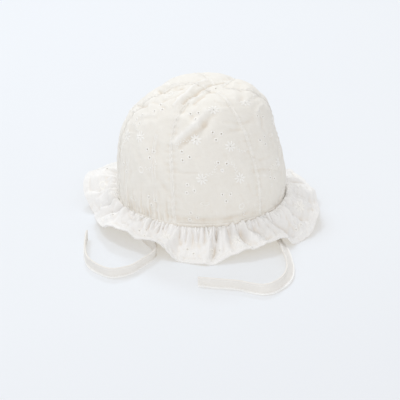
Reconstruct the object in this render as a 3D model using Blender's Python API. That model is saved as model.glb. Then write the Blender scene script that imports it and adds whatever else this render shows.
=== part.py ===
"""Baby bonnet of eyelet cotton: six crown gores, a seam band, a gathered ruffle brim and two flat ties.

The bonnet stands on its brim with the wearer's front towards -Y and +Z up; the floor is z = 0.
A turn is an angle in degrees round the crown, 0 at the front and growing towards +X.
A rise is a share of the way up the crown's side, 0 at the base seam and 1 at the tip.
"""
import math
from collections import Counter, namedtuple

import bmesh
import bpy
from mathutils import Vector
from mathutils.geometry import delaunay_2d_cdt

# Sizes in metres.
CROWN_RADIUS = 0.0745
CROWN_HEIGHT = 0.109
STRAIGHT_SIDE = 0.0135
BASE_HEIGHT = 0.0195
CLOTH = 0.0012
GAP = 0.0003
GORE_PUFF = 0.0016
SEAM_DEPTH = 0.0012
SEAM_WIDTH = 0.0035
TIP_RIGHT = 0.012
TIP_FORWARD = 0.015
TIP_OPENING = 0.0014
EYELET_RADIUS = 0.00105
EYELET_SPREAD = 0.0032
EYELET_MARGIN = 0.0015
BAND_WIDTH = 0.0050
BAND_CLOTH = 0.0019
BAND_RAISE = 0.0007
BRIM_REACH = 0.032
BRIM_PUFF = 0.0045
GATHER_DEPTH = 0.0014
HEM_CLOTH = 0.0018
HEM_WIDTH = 0.0045
TIE_WIDTH = 0.0095
TIE_CLOTH = 0.0018

# Where the middle of the crown stands, so that the whole hat is centred over the origin.
CROWN_X = 0.0
CROWN_Y = 0.0

# Counts, angles and plain numbers.
GORES = 6
FIRST_SEAM_TURN = -18.0
SEAM_CURL = -34.0
SEAM_CURL_POWER = 2.2
ROUNDNESS = 2.37
TIP_DRAWN_FROM = 0.35
CELL = 0.0087
EYELET_SIDES = 5
BAND_SIDES = 60
GATHERS = 52
COLUMNS_A_GATHER = 4
TIE_STEPS_A_SPAN = 3

GORE_NAMES = ("front_right", "right", "back_right", "back_left", "left", "front_left")

# Broad swells and hollows of the crown. Spreads are in degrees and rises, pushes are shares of the radius.
Bulge = namedtuple("Bulge", "turn rise turn_spread rise_spread push")
BULGES = (
    Bulge(0.0, 1.00, 720.0, 0.13, -0.065),
    Bulge(-150.0, 0.80, 60.0, 0.14, 0.055),
    Bulge(-98.0, 0.42, 40.0, 0.16, 0.022),
    Bulge(90.0, 0.35, 50.0, 0.16, -0.045),
    Bulge(0.0, 0.08, 70.0, 0.035, -0.014),
    Bulge(114.0, 0.68, 18.0, 0.08, -0.025),
)

# Folds of the crown: lines from one turn and rise to another. Width and push are shares of the radius.
Fold = namedtuple("Fold", "from_turn from_rise to_turn to_rise width push")
FOLDS = (
    Fold(-30.0, 0.68, -50.0, 0.87, 0.055, -0.034),
    Fold(-50.0, 0.87, 146.0, 0.80, 0.055, -0.030),
    Fold(-12.0, 0.96, -22.0, 0.75, 0.050, -0.028),
    Fold(-22.0, 0.46, -8.0, 0.59, 0.055, 0.030),
    Fold(-8.0, 0.59, -4.0, 0.68, 0.055, 0.026),
    Fold(-14.0, 0.48, -2.0, 0.59, 0.050, -0.026),
    Fold(-2.0, 0.59, 4.0, 0.66, 0.050, -0.022),
    Fold(-90.0, 0.70, -84.0, 0.82, 0.065, -0.040),
    Fold(-88.0, 0.56, -78.0, 0.60, 0.045, -0.018),
    Fold(110.0, 0.86, 44.0, 0.75, 0.050, -0.020),
    Fold(20.0, 0.53, 46.0, 0.58, 0.050, -0.014),
    Fold(46.0, 0.27, 84.0, 0.25, 0.050, -0.014),
)

# Eyelet trios of one gore: place across from -1 to 1, rise, and the way the trio points in degrees.
Trio = namedtuple("Trio", "across rise spin")
TRIOS = (
    Trio(-0.70, 0.11, 20.0),
    Trio(0.19, 0.19, 80.0),
    Trio(-0.73, 0.24, 100.0),
    Trio(0.20, 0.34, 30.0),
    Trio(0.25, 0.51, 90.0),
    Trio(-0.80, 0.62, 35.0),
)

# Waves of the brim's hem. Reach is a share of the brim's reach, height of the base seam's height,
# puff of the brim's puff: above the straight line from seam to hem where it is positive.
Wave = namedtuple("Wave", "turn reach height puff")
WAVES = (
    Wave(-170.0, 0.92, 0.00, 0.6),
    Wave(-161.0, 0.95, 0.00, 0.6),
    Wave(-150.0, 1.02, 0.46, 0.8),
    Wave(-140.0, 1.00, 0.87, 1.0),
    Wave(-130.0, 0.96, 1.01, 1.0),
    Wave(-119.0, 1.08, 1.10, 0.9),
    Wave(-110.0, 1.16, 1.11, 0.8),
    Wave(-102.5, 1.14, 0.90, 0.8),
    Wave(-96.0, 1.00, 0.50, 0.8),
    Wave(-91.0, 0.76, 0.00, 0.8),
    Wave(-83.0, 0.68, 0.00, 0.8),
    Wave(-75.0, 0.72, 0.28, 0.7),
    Wave(-64.0, 0.80, 0.51, 0.5),
    Wave(-57.0, 0.81, 0.55, 0.4),
    Wave(-53.0, 0.82, 0.80, 0.3),
    Wave(-45.0, 0.79, 0.88, 0.3),
    Wave(-38.0, 0.73, 0.80, 0.2),
    Wave(-34.0, 0.76, 0.70, 0.0),
    Wave(-25.0, 0.73, 0.76, -0.3),
    Wave(-20.0, 0.76, 0.64, -0.5),
    Wave(-15.5, 0.79, 0.33, -0.6),
    Wave(-11.0, 0.82, 0.06, -0.6),
    Wave(-5.0, 0.86, 0.00, -0.6),
    Wave(4.6, 0.95, 0.00, -0.6),
    Wave(9.5, 0.88, 0.14, -0.6),
    Wave(14.5, 0.82, 0.30, -0.5),
    Wave(22.0, 0.75, 0.40, -0.4),
    Wave(30.0, 0.72, 0.43, -0.3),
    Wave(42.0, 0.73, 0.48, 0.0),
    Wave(45.5, 0.82, 0.40, 0.1),
    Wave(50.0, 0.91, 0.04, 0.2),
    Wave(56.0, 0.94, 0.00, 0.3),
    Wave(62.0, 0.98, 0.00, 0.4),
    Wave(68.0, 0.99, 0.20, 0.5),
    Wave(74.5, 1.00, 0.50, 0.6),
    Wave(84.0, 0.98, 0.35, 0.7),
    Wave(93.0, 1.00, 0.00, 0.7),
    Wave(101.0, 1.01, 0.37, 0.8),
    Wave(108.0, 1.03, 0.52, 0.8),
    Wave(121.0, 1.04, 0.55, 0.8),
    Wave(133.0, 1.01, 0.50, 0.8),
    Wave(142.0, 0.98, 0.20, 0.7),
    Wave(149.0, 0.97, 0.00, 0.6),
    Wave(157.0, 0.97, 0.00, 0.6),
    Wave(167.0, 0.97, 0.36, 0.7),
    Wave(180.0, 0.95, 0.30, 0.7),
)

# Places along the ruffle where its gathers are full and where they have run out, as shares of its width.
RUFFLE_ROWS = (0.22, 0.55)

# Each tie's middle line on the floor plan in metres, from its sewn end to its free end, with the
# height of its lower edge and how far it leans over from standing on edge, in degrees.
TiePoint = namedtuple("TiePoint", "x y lift lean")
TIE_LEFT = (
    TiePoint(-0.0709, -0.0125, 0.0150, 0.0),
    TiePoint(-0.0684, -0.0222, 0.0145, 0.0),
    TiePoint(-0.0635, -0.0325, 0.0100, 3.0),
    TiePoint(-0.0570, -0.0445, 0.0035, 6.0),
    TiePoint(-0.0480, -0.0620, 0.0000, 6.0),
    TiePoint(-0.0405, -0.0770, 0.0000, 6.0),
    TiePoint(-0.0385, -0.0880, 0.0000, 6.0),
    TiePoint(-0.0420, -0.0975, 0.0000, 6.0),
    TiePoint(-0.0482, -0.1070, 0.0000, 6.0),
    TiePoint(-0.0580, -0.1202, 0.0000, 6.0),
    TiePoint(-0.0720, -0.1263, 0.0000, 6.0),
    TiePoint(-0.0830, -0.1202, 0.0000, 4.0),
    TiePoint(-0.0920, -0.1093, 0.0000, 2.0),
    TiePoint(-0.0963, -0.0971, 0.0000, 0.0),
    TiePoint(-0.0988, -0.0785, 0.0000, -3.0),
    TiePoint(-0.0994, -0.0611, 0.0000, -5.0),
    TiePoint(-0.0990, -0.0552, 0.0000, -5.0),
)
TIE_RIGHT = (
    TiePoint(0.0698, -0.0174, 0.0150, 0.0),
    TiePoint(0.0657, -0.0293, 0.0145, 0.0),
    TiePoint(0.0625, -0.0375, 0.0080, -12.0),
    TiePoint(0.0635, -0.0500, 0.0010, -36.0),
    TiePoint(0.0665, -0.0650, 0.0000, -50.0),
    TiePoint(0.0700, -0.0800, 0.0000, -55.0),
    TiePoint(0.0717, -0.0971, 0.0000, -50.0),
    TiePoint(0.0724, -0.1116, 0.0000, -45.0),
    TiePoint(0.0705, -0.1275, 0.0000, -40.0),
    TiePoint(0.0648, -0.1412, 0.0000, -32.0),
    TiePoint(0.0563, -0.1513, 0.0000, -20.0),
    TiePoint(0.0480, -0.1545, 0.0000, -8.0),
    TiePoint(0.0381, -0.1513, 0.0000, 0.0),
    TiePoint(0.0282, -0.1468, 0.0000, 6.0),
    TiePoint(0.0105, -0.1438, 0.0000, 8.0),
    TiePoint(-0.0031, -0.1412, 0.0000, 8.0),
)


def clear_scene():
    """Take every object out of the start file."""
    for item in list(bpy.data.objects):
        bpy.data.objects.remove(item, do_unlink=True)


def cotton(name, colour, roughness):
    """A plain cotton material in its own slot."""
    made = bpy.data.materials.new(name)
    made.use_nodes = True
    shader = made.node_tree.nodes["Principled BSDF"]
    shader.inputs["Base Color"].default_value = (*colour, 1.0)
    shader.inputs["Roughness"].default_value = roughness
    return made


def add_solid(name, points, faces, material):
    """Make one named object from points and faces, with its faces turned outwards."""
    mesh = bpy.data.meshes.new(name)
    mesh.from_pydata([tuple(point) for point in points], [], faces)
    shell = bmesh.new()
    shell.from_mesh(mesh)
    bmesh.ops.triangulate(shell, faces=shell.faces[:])
    bmesh.ops.recalc_face_normals(shell, faces=shell.faces[:])
    shell.to_mesh(mesh)
    shell.free()
    mesh.materials.append(material)
    item = bpy.data.objects.new(name, mesh)
    bpy.context.scene.collection.objects.link(item)
    return item


def ease(share):
    """Smooth step from 0 to 1."""
    held = min(max(share, 0.0), 1.0)
    return held * held * (3.0 - 2.0 * held)


def curve_value(before, start, end, after, share):
    """Smooth curve from start to end, each a (place, value) pair, with neighbours on both sides."""
    span = end[0] - start[0]
    start_slope = (end[1] - before[1]) / (end[0] - before[0]) * span
    end_slope = (after[1] - start[1]) / (after[0] - start[0]) * span
    square = share * share
    cube = square * share
    return (
        (2.0 * cube - 3.0 * square + 1.0) * start[1]
        + (cube - 2.0 * square + share) * start_slope
        + (3.0 * square - 2.0 * cube) * end[1]
        + (cube - square) * end_slope
    )


def round_value(rows, column, turn):
    """Smooth value of one column of a table that runs once round the crown."""
    count = len(rows)
    placed = (turn - rows[0].turn) % 360.0 + rows[0].turn
    here = max(index for index, row in enumerate(rows) if row.turn <= placed)

    def knot(index):
        row = rows[index % count]
        return row.turn + 360.0 * (index // count), getattr(row, column)

    start, end = knot(here), knot(here + 1)
    share = (placed - start[0]) / (end[0] - start[0])
    return curve_value(knot(here - 1), start, end, knot(here + 2), share)


def side_share():
    """Share of the crown's rise that is its straight side."""
    return STRAIGHT_SIDE / CROWN_HEIGHT


def rise_at_height(height):
    """Rise of a height above the base seam."""
    if height <= STRAIGHT_SIDE:
        return height / CROWN_HEIGHT
    up = (height - STRAIGHT_SIDE) / (CROWN_HEIGHT - STRAIGHT_SIDE)
    bend = math.asin(min(up, 1.0) ** (ROUNDNESS / 2.0))
    return side_share() + (1.0 - side_share()) * bend / (math.pi / 2.0)


def rise_at_radius(radius):
    """Rise where the crown's top has closed in to a radius."""
    bend = math.acos((radius / CROWN_RADIUS) ** (ROUNDNESS / 2.0))
    return side_share() + (1.0 - side_share()) * bend / (math.pi / 2.0)


def section(rise):
    """Radius and height above the base seam of the plain dome."""
    side = side_share()
    if rise <= side:
        return CROWN_RADIUS, rise * CROWN_HEIGHT
    bend = (rise - side) / (1.0 - side) * math.pi / 2.0
    cap = CROWN_HEIGHT - STRAIGHT_SIDE
    radius = CROWN_RADIUS * max(math.cos(bend), 0.0) ** (2.0 / ROUNDNESS)
    return radius, STRAIGHT_SIDE + cap * math.sin(bend) ** (2.0 / ROUNDNESS)


def dome(turn, rise):
    """Point of the plain dome, its tip drawn a little to the right and the front."""
    radius, height = section(rise)
    angle = math.radians(turn)
    drawn = ease((rise - TIP_DRAWN_FROM) / (1.0 - TIP_DRAWN_FROM))
    return Vector((
        CROWN_X + radius * math.sin(angle) + TIP_RIGHT * drawn,
        CROWN_Y - radius * math.cos(angle) - TIP_FORWARD * drawn,
        BASE_HEIGHT + height,
    ))


def normal_of(surface, turn, rise):
    """Outward direction of a surface given as a function of turn and rise."""
    low, high = max(rise - 0.01, 0.0), min(rise + 0.01, 1.0)
    across = surface(turn + 1.0, rise) - surface(turn - 1.0, rise)
    along = surface(turn, high) - surface(turn, low)
    return across.cross(along).normalized()


def distance_to_line(point, start, end):
    """Distance from a point to the straight line between two others."""
    line = end - start
    share = min(max((point - start).dot(line) / line.length_squared, 0.0), 1.0)
    return (point - start - line * share).length


def seam_curl(rise):
    """How far the gore seams have curled round the crown at a rise, in degrees."""
    return SEAM_CURL * rise ** SEAM_CURL_POWER


def seam_offset(turn, rise):
    """Distance along the cloth from a turn to the nearest gore seam."""
    pitch = 360.0 / GORES
    off = (turn - seam_curl(rise) - FIRST_SEAM_TURN + pitch / 2.0) % pitch - pitch / 2.0
    return abs(math.radians(off)) * section(rise)[0]


def crown_push(turn, rise):
    """How far the cloth stands out from the plain dome."""
    pitch = 360.0 / GORES
    across = ((turn - seam_curl(rise) - FIRST_SEAM_TURN) % pitch) / pitch
    push = GORE_PUFF * math.sin(math.pi * across) * math.sin(math.pi * min(rise, 1.0))
    fade = ease((rise - 0.06) / 0.10) * ease((1.0 - rise) / 0.12)
    push -= fade * SEAM_DEPTH * math.exp(-((seam_offset(turn, rise) / SEAM_WIDTH) ** 2))
    for bulge in BULGES:
        off = (turn - bulge.turn + 180.0) % 360.0 - 180.0
        near = (off / bulge.turn_spread) ** 2 + ((rise - bulge.rise) / bulge.rise_spread) ** 2
        push += bulge.push * CROWN_RADIUS * math.exp(-near)
    point = dome(turn, rise)
    for fold in FOLDS:
        away = distance_to_line(
            point, dome(fold.from_turn, fold.from_rise), dome(fold.to_turn, fold.to_rise)
        )
        push += fold.push * CROWN_RADIUS * math.exp(-((away / (fold.width * CROWN_RADIUS)) ** 2))
    return push


def crown_point(turn, rise):
    """Point on the outside of the crown's cloth."""
    return dome(turn, rise) + normal_of(dome, turn, rise) * crown_push(turn, rise)


def thick_sheet(corners, triangles, cloth):
    """Closed points and faces of a cloth sheet, from (turn, rise) corners and their triangles."""
    count = len(corners)
    outside = [crown_point(turn, rise) for turn, rise in corners]
    inside = [
        point - normal_of(crown_point, turn, rise) * cloth
        for point, (turn, rise) in zip(outside, corners)
    ]
    faces = [tuple(face) for face in triangles]
    faces += [tuple(count + index for index in reversed(face)) for face in triangles]
    edges = Counter()
    for face in triangles:
        for start, end in zip(face, (*face[1:], face[0])):
            edges[start, end] += 1
    for start, end in list(edges):
        if (end, start) not in edges:
            faces += [(end, start, count + start), (end, count + start, count + end)]
    return outside + inside, faces


def gore_rows():
    """Rises of a gore's rows, evenly spaced along the cloth from the band to the tip."""
    first = rise_at_height(BAND_WIDTH + GAP)
    last = rise_at_radius(TIP_OPENING)
    samples = [first + (last - first) * index / 200.0 for index in range(201)]
    travelled = [0.0]
    for low, high in zip(samples, samples[1:]):
        step = Vector(section(high)) - Vector(section(low))
        travelled.append(travelled[-1] + step.length)
    rows = max(4, round(travelled[-1] / CELL))
    chosen = []
    for row in range(rows + 1):
        wanted = travelled[-1] * row / rows
        nearest = min(range(len(samples)), key=lambda index: abs(travelled[index] - wanted))
        chosen.append((samples[nearest], travelled[nearest]))
    return chosen


def half_turn(rise):
    """Half a gore's turn at a rise, leaving half a gap on each side."""
    return 180.0 / GORES - math.degrees(math.asin(GAP / 2.0 / section(rise)[0]))


def rise_along(rows, travelled):
    """Rise at a distance along the cloth above the first row."""
    for (low, start), (high, end) in zip(rows, rows[1:]):
        if travelled <= end:
            return low + (high - low) * (travelled - start) / (end - start)
    return rows[-1][0]


def eyelets(rows):
    """Flat outlines of one gore's eyelets: across the gore and along the cloth, in metres."""
    outlines = []
    for trio in TRIOS:
        along = min(rows, key=lambda row: abs(row[0] - trio.rise))[1]
        half = math.radians(half_turn(rise_along(rows, along))) * section(rise_along(rows, along))[0]
        reach = EYELET_SPREAD + EYELET_RADIUS + EYELET_MARGIN
        room = max(half - reach, 0.0)
        middle = Vector((trio.across * room, along))
        for leaf in range(3):
            angle = math.radians(trio.spin + 120.0 * leaf)
            centre = middle + EYELET_SPREAD * Vector((math.cos(angle), math.sin(angle)))
            outlines.append([
                centre + EYELET_RADIUS * Vector((math.cos(corner), math.sin(corner)))
                for corner in (2.0 * math.pi * side / EYELET_SIDES for side in range(EYELET_SIDES))
            ])
    return outlines


def inside_outline(point, outline):
    """Is a flat point inside a closed outline?"""
    crossings = 0
    for start, end in zip(outline, outline[1:] + outline[:1]):
        if (start.y > point.y) != (end.y > point.y):
            place = start.x + (point.y - start.y) / (end.y - start.y) * (end.x - start.x)
            crossings += place > point.x
    return crossings % 2 == 1


def gore_layout():
    """Flat corners of a gore as (across share, rise), and the triangles between them."""
    rows = gore_rows()
    holes = eyelets(rows)
    keep_off = EYELET_RADIUS + CELL * 0.28
    flat = []
    rim = []
    for number, (rise, along) in enumerate(rows):
        half = math.radians(half_turn(rise)) * section(rise)[0]
        columns = max(1, round(2.0 * half / CELL))
        for column in range(columns + 1):
            across = -1.0 + 2.0 * column / columns
            point = Vector((across * half, along))
            on_rim = number in (0, len(rows) - 1) or column in (0, columns)
            middles = [sum(outline, Vector((0.0, 0.0))) / len(outline) for outline in holes]
            if on_rim or all((point - middle).length > keep_off for middle in middles):
                flat.append((point, across, rise))
                rim.append((number, across) if on_rim else None)
    sides = []
    bottom = [index for index, mark in enumerate(rim) if mark and mark[0] == 0]
    top = [index for index, mark in enumerate(rim) if mark and mark[0] == len(rows) - 1]
    left = [index for index, mark in enumerate(rim) if mark and mark[1] == -1.0]
    right = [index for index, mark in enumerate(rim) if mark and mark[1] == 1.0]
    outline = bottom + right[1:-1] + top[::-1] + left[-2:0:-1]
    sides += list(zip(outline, outline[1:] + outline[:1]))
    for hole in holes:
        first = len(flat)
        for corner in hole:
            rise = rise_along(rows, corner.y)
            half = math.radians(half_turn(rise)) * section(rise)[0]
            flat.append((corner, corner.x / half, rise))
        ring = list(range(first, len(flat)))
        sides += list(zip(ring, ring[1:] + ring[:1]))
    made = delaunay_2d_cdt([point for point, _, _ in flat], sides, [], 0, 1e-7, True)
    points, _, faces, sources = made[0], made[1], made[2], made[3]
    if len(points) != len(flat):
        raise ValueError("the eyelets of a gore run into each other or over its edge")
    border = [flat[index][0] for index in outline]
    triangles = []
    for face in faces:
        corners = [sources[index][0] for index in face]
        middle = sum((flat[index][0] for index in corners), Vector((0.0, 0.0))) / 3.0
        if inside_outline(middle, border) and not any(inside_outline(middle, hole) for hole in holes):
            triangles.append(corners)
    return [(across, rise) for _, across, rise in flat], triangles


def build_gore(number, layout, material):
    """One of the crown's gores, pierced with its eyelets."""
    middle = FIRST_SEAM_TURN + (number + 0.5) * 360.0 / GORES
    corners = [
        (middle + seam_curl(rise) + across * half_turn(rise), rise) for across, rise in layout[0]
    ]
    points, faces = thick_sheet(corners, layout[1], CLOTH)
    return add_solid("gore_" + GORE_NAMES[number], points, faces, material)


def ring_solid(name, rings, material):
    """A closed ring from sections, each a list of points in the same order round."""
    sides = len(rings[0])
    points = [point for ring in rings for point in ring]
    faces = []
    for here in range(len(rings)):
        after = (here + 1) % len(rings)
        for side in range(sides):
            beside = (side + 1) % sides
            faces.append((
                here * sides + side, here * sides + beside,
                after * sides + beside, after * sides + side,
            ))
    return add_solid(name, points, faces, material)


def build_band(material):
    """The seam band: a low ring under the gores, a little prouder than they are."""
    rings = []
    for side in range(BAND_SIDES):
        turn = FIRST_SEAM_TURN + 360.0 * side / BAND_SIDES
        out = Vector((math.sin(math.radians(turn)), -math.cos(math.radians(turn)), 0.0))
        low = crown_point(turn, 0.0) + out * BAND_RAISE
        high = crown_point(turn, rise_at_height(BAND_WIDTH)) + out * BAND_RAISE
        rings.append([low, high, high - out * BAND_CLOTH, low - out * BAND_CLOTH])
    return ring_solid("base_band", rings, material)


def gather(column):
    """Height of the gathers at a column, from -1 to 1."""
    return (0.0, 1.0, 0.0, -1.0)[column % COLUMNS_A_GATHER]


def neck_share():
    """Share of the ruffle's width that is held flat under the seam band."""
    return (BAND_CLOTH + GAP) / (BRIM_REACH + BAND_CLOTH - BAND_RAISE)


def ruffle_point(turn, share, swing):
    """Point on the top side of the ruffle: share 0 at the seam and 1 at the hem."""
    angle = math.radians(turn)
    out = Vector((math.sin(angle), -math.cos(angle), 0.0))
    seam = crown_point(turn, 0.0) - out * (BAND_CLOTH - BAND_RAISE) - Vector((0.0, 0.0, GAP))
    reach = BRIM_REACH * round_value(WAVES, "reach", turn) + BAND_CLOTH - BAND_RAISE
    hem_height = BASE_HEIGHT * max(round_value(WAVES, "height", turn), 0.0) + HEM_CLOTH
    puff = BRIM_PUFF * round_value(WAVES, "puff", turn)
    free = max(share - neck_share(), 0.0) / (1.0 - neck_share())
    point = seam + out * (reach * share)
    point.z += (hem_height - seam.z) * (0.65 * free + 0.35 * ease(free))
    point.z += puff * math.sin(math.pi * free)
    point.z += GATHER_DEPTH * swing * ease(free / RUFFLE_ROWS[0]) * ease((1.0 - free) / RUFFLE_ROWS[1])
    return point


def build_ruffle(material):
    """The gathered brim, flattened on the floor where its hem touches it."""
    columns = GATHERS * COLUMNS_A_GATHER
    shares = (0.0, neck_share(), *RUFFLE_ROWS, 1.0 - HEM_WIDTH / BRIM_REACH, 1.0)
    tops = []
    for column in range(columns):
        turn = FIRST_SEAM_TURN + 360.0 * column / columns
        tops.append([ruffle_point(turn, share, gather(column)) for share in shares])
    rings = []
    for column, top in enumerate(tops):
        before, after = tops[column - 1], tops[(column + 1) % columns]
        under = []
        for row, point in enumerate(top):
            along = top[min(row + 1, len(top) - 1)] - top[max(row - 1, 0)]
            normal = along.cross(after[row] - before[row]).normalized()
            if normal.z < 0.0:
                normal = -normal
            if row == 0:
                normal = Vector((0.0, 0.0, 1.0))
            cloth = HEM_CLOTH if row >= len(top) - 2 else CLOTH
            under.append(point - normal * cloth)
        for row in range(len(top)):
            under[row].z = max(under[row].z, 0.0)
            top[row].z = max(top[row].z, under[row].z + CLOTH)
        if round_value(WAVES, "height", FIRST_SEAM_TURN + 360.0 * column / columns) <= 0.001:
            for row in (len(top) - 2, len(top) - 1):
                top[row].z = HEM_CLOTH
                under[row] = Vector((top[row].x, top[row].y, 0.0))
        rings.append(top + under[::-1])
    return ring_solid("ruffle_brim", rings, material)


def tie_line(points):
    """Smooth run through a tie's chosen points."""
    run = []
    last = len(points) - 1
    for index in range(last):
        rows = [points[min(max(index + step, 0), last)] for step in (-1, 0, 1, 2)]
        for step in range(TIE_STEPS_A_SPAN):
            share = step / TIE_STEPS_A_SPAN
            run.append([
                catmull(rows[0][column], rows[1][column], rows[2][column], rows[3][column], share)
                for column in range(4)
            ])
    run.append(list(points[last]))
    return run


def catmull(before, start, end, after, share):
    """Smooth curve from start to end with even spacing."""
    square = share * share
    cube = square * share
    return 0.5 * (
        2.0 * start
        + (end - before) * share
        + (2.0 * before - 5.0 * start + 4.0 * end - after) * square
        + (3.0 * start - before - 3.0 * end + after) * cube
    )


def build_tie(name, points, material):
    """A flat doubled strap that stands on its edge or leans over along its line."""
    run = tie_line(points)
    rings = []
    for index, (x, y, lift, lean) in enumerate(run):
        before, after = run[max(index - 1, 0)], run[min(index + 1, len(run) - 1)]
        along = Vector((after[0] - before[0], after[1] - before[1], 0.0)).normalized()
        side = Vector((-along.y, along.x, 0.0))
        tilt = math.radians(lean)
        up = Vector((0.0, 0.0, 1.0)) * math.cos(tilt) + side * math.sin(tilt)
        face = along.cross(up).normalized()
        low = abs(up.z) * TIE_WIDTH / 2.0 + abs(face.z) * TIE_CLOTH / 2.0
        middle = Vector((x, y, max(lift, 0.0) + low))
        rings.append([
            middle + up * (TIE_WIDTH / 2.0 * high) + face * (TIE_CLOTH / 2.0 * wide)
            for high, wide in ((1.0, 1.0), (1.0, -1.0), (-1.0, -1.0), (-1.0, 1.0))
        ])
    points = [point for ring in rings for point in ring]
    faces = [(0, 1, 2, 3), tuple(len(points) - 4 + corner for corner in (3, 2, 1, 0))]
    for here in range(len(rings) - 1):
        for side in range(4):
            beside = (side + 1) % 4
            faces.append((
                here * 4 + side, here * 4 + beside, here * 4 + 4 + beside, here * 4 + 4 + side,
            ))
    return add_solid(name, points, faces, material)


def main():
    """Build every piece of the bonnet."""
    clear_scene()
    layout = gore_layout()
    crown_cotton = cotton("crown_cotton", (0.80, 0.77, 0.72), 0.92)
    for number in range(GORES):
        build_gore(number, layout, crown_cotton)
    build_band(cotton("band_cotton", (0.80, 0.76, 0.71), 0.92))
    build_ruffle(cotton("ruffle_cotton", (0.86, 0.84, 0.81), 0.92))
    tie_cotton = cotton("tie_cotton", (0.82, 0.80, 0.77), 0.92)
    build_tie("tie_left", TIE_LEFT, tie_cotton)
    build_tie("tie_right", TIE_RIGHT, tie_cotton)


if __name__ == "__main__":
    main()
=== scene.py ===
import logging
import math
from dataclasses import dataclass, field
from enum import Enum
from functools import cached_property, partial
from typing import Callable, NamedTuple, Sequence

import bpy
import numpy as np
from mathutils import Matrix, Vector
from mathutils.geometry import delaunay_2d_cdt


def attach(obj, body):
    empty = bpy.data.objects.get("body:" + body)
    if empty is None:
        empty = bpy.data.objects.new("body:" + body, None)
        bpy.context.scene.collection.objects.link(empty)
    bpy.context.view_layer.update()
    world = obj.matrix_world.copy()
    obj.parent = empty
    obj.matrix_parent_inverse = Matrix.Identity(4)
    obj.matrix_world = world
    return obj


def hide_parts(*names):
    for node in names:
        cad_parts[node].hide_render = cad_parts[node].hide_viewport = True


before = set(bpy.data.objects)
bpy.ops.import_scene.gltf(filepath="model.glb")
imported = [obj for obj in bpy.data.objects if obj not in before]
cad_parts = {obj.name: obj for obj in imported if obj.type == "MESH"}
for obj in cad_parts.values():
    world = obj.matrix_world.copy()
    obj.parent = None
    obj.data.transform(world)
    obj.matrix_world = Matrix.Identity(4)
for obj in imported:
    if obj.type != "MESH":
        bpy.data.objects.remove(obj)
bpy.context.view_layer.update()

Array = np.ndarray
Material = bpy.types.Material
Piece = bpy.types.Object
Socket = bpy.types.NodeSocket
Colour = tuple[float, float, float]
Reach = Callable[[Array], Array]
Surface = Callable[[Array, Array], Array]
LOG = logging.getLogger("bonnet")
CLOTH_MAP = "cloth"
# UV map of fold depth, which sets the painted fold shade and ridge highlight.
FOLD_MAP = "fold"
TINY = 1e-9
UP = np.array([0.0, 0.0, 1.0])


class Stitchery(Enum):
    """Kinds of embroidered motif."""

    TRIO = "three eyelets"
    DAISY = "daisy round one eyelet"
    RING = "round ring"
    OVAL = "flat ring"
    SPRIG = "curved sprig of small leaves"


class Slot(Enum):
    """Material slots of the bonnet."""

    CROWN = "crown_cotton"
    BAND = "band_cotton"
    RUFFLE = "ruffle_cotton"
    TIE = "tie_cotton"


class Bulge(NamedTuple):
    """Broad swell or hollow; the spreads are in degrees and rises, the push is a share of the radius."""

    turn: float
    rise: float
    turn_spread: float
    rise_spread: float
    push: float


class Fold(NamedTuple):
    """Fold along a line on the crown; width and push are shares of the radius."""

    from_turn: float
    from_rise: float
    to_turn: float
    to_rise: float
    width: float
    push: float


class Crease(NamedTuple):
    """Fine crease through places of turn and rise; width and push are shares of the radius."""

    path: tuple[tuple[float, float], ...]
    width: float
    push: float


class Ripple(NamedTuple):
    """Small upright ripple between two rises; width in degrees, push in metres at a ripple depth of 1."""

    turn: float
    low: float
    high: float
    width: float
    push: float


class Wave(NamedTuple):
    """The hem at one turn: reach, height and puff as shares of the brim's own."""

    turn: float
    reach: float
    height: float
    puff: float


class Pleat(NamedTuple):
    """Long fold of the ruffle: turns and shares of the width at its ends, width in degrees.

    The push is in metres at a pleat depth of 1.
    """

    turn: float
    hem_turn: float
    start: float
    end: float
    width: float
    push: float


class Motif(NamedTuple):
    """An embroidered motif: across from -1 to 1, rise, and the way it points in degrees."""

    kind: Stitchery
    across: float
    rise: float
    spin: float


class Lamp(NamedTuple):
    """A square soft light that points at the bonnet."""

    name: str
    place: tuple[float, float, float]
    size: float
    watts: float
    colour: tuple[float, float, float]


class TiePoint(NamedTuple):
    """Middle of a tie on the floor plan, height of its lower edge, and lean from upright in degrees."""

    x: float
    y: float
    lift: float
    lean: float


BULGES = tuple(Bulge(*row) for row in (
    (0.0, 1.00, 720.0, 0.13, -0.065),
    (-150.0, 0.80, 60.0, 0.14, 0.055),
    (-98.0, 0.42, 40.0, 0.16, 0.022),
    (90.0, 0.35, 50.0, 0.16, -0.045),
    (0.0, 0.08, 70.0, 0.035, -0.014),
    (114.0, 0.68, 18.0, 0.08, -0.025),
))

FOLDS = tuple(Fold(*row) for row in (
    (-30.0, 0.68, -50.0, 0.87, 0.055, -0.034),
    (-50.0, 0.87, 146.0, 0.80, 0.055, -0.030),
    (-12.0, 0.96, -22.0, 0.75, 0.050, -0.028),
    (-22.0, 0.46, -8.0, 0.59, 0.055, 0.030),
    (-8.0, 0.59, -4.0, 0.68, 0.055, 0.026),
    (-14.0, 0.48, -2.0, 0.59, 0.050, -0.026),
    (-2.0, 0.59, 4.0, 0.66, 0.050, -0.022),
    (-90.0, 0.70, -84.0, 0.82, 0.065, -0.040),
    (-88.0, 0.56, -78.0, 0.60, 0.045, -0.018),
    (110.0, 0.86, 44.0, 0.75, 0.050, -0.020),
    (20.0, 0.53, 46.0, 0.58, 0.050, -0.014),
    (46.0, 0.27, 84.0, 0.25, 0.050, -0.014),
))

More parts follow.
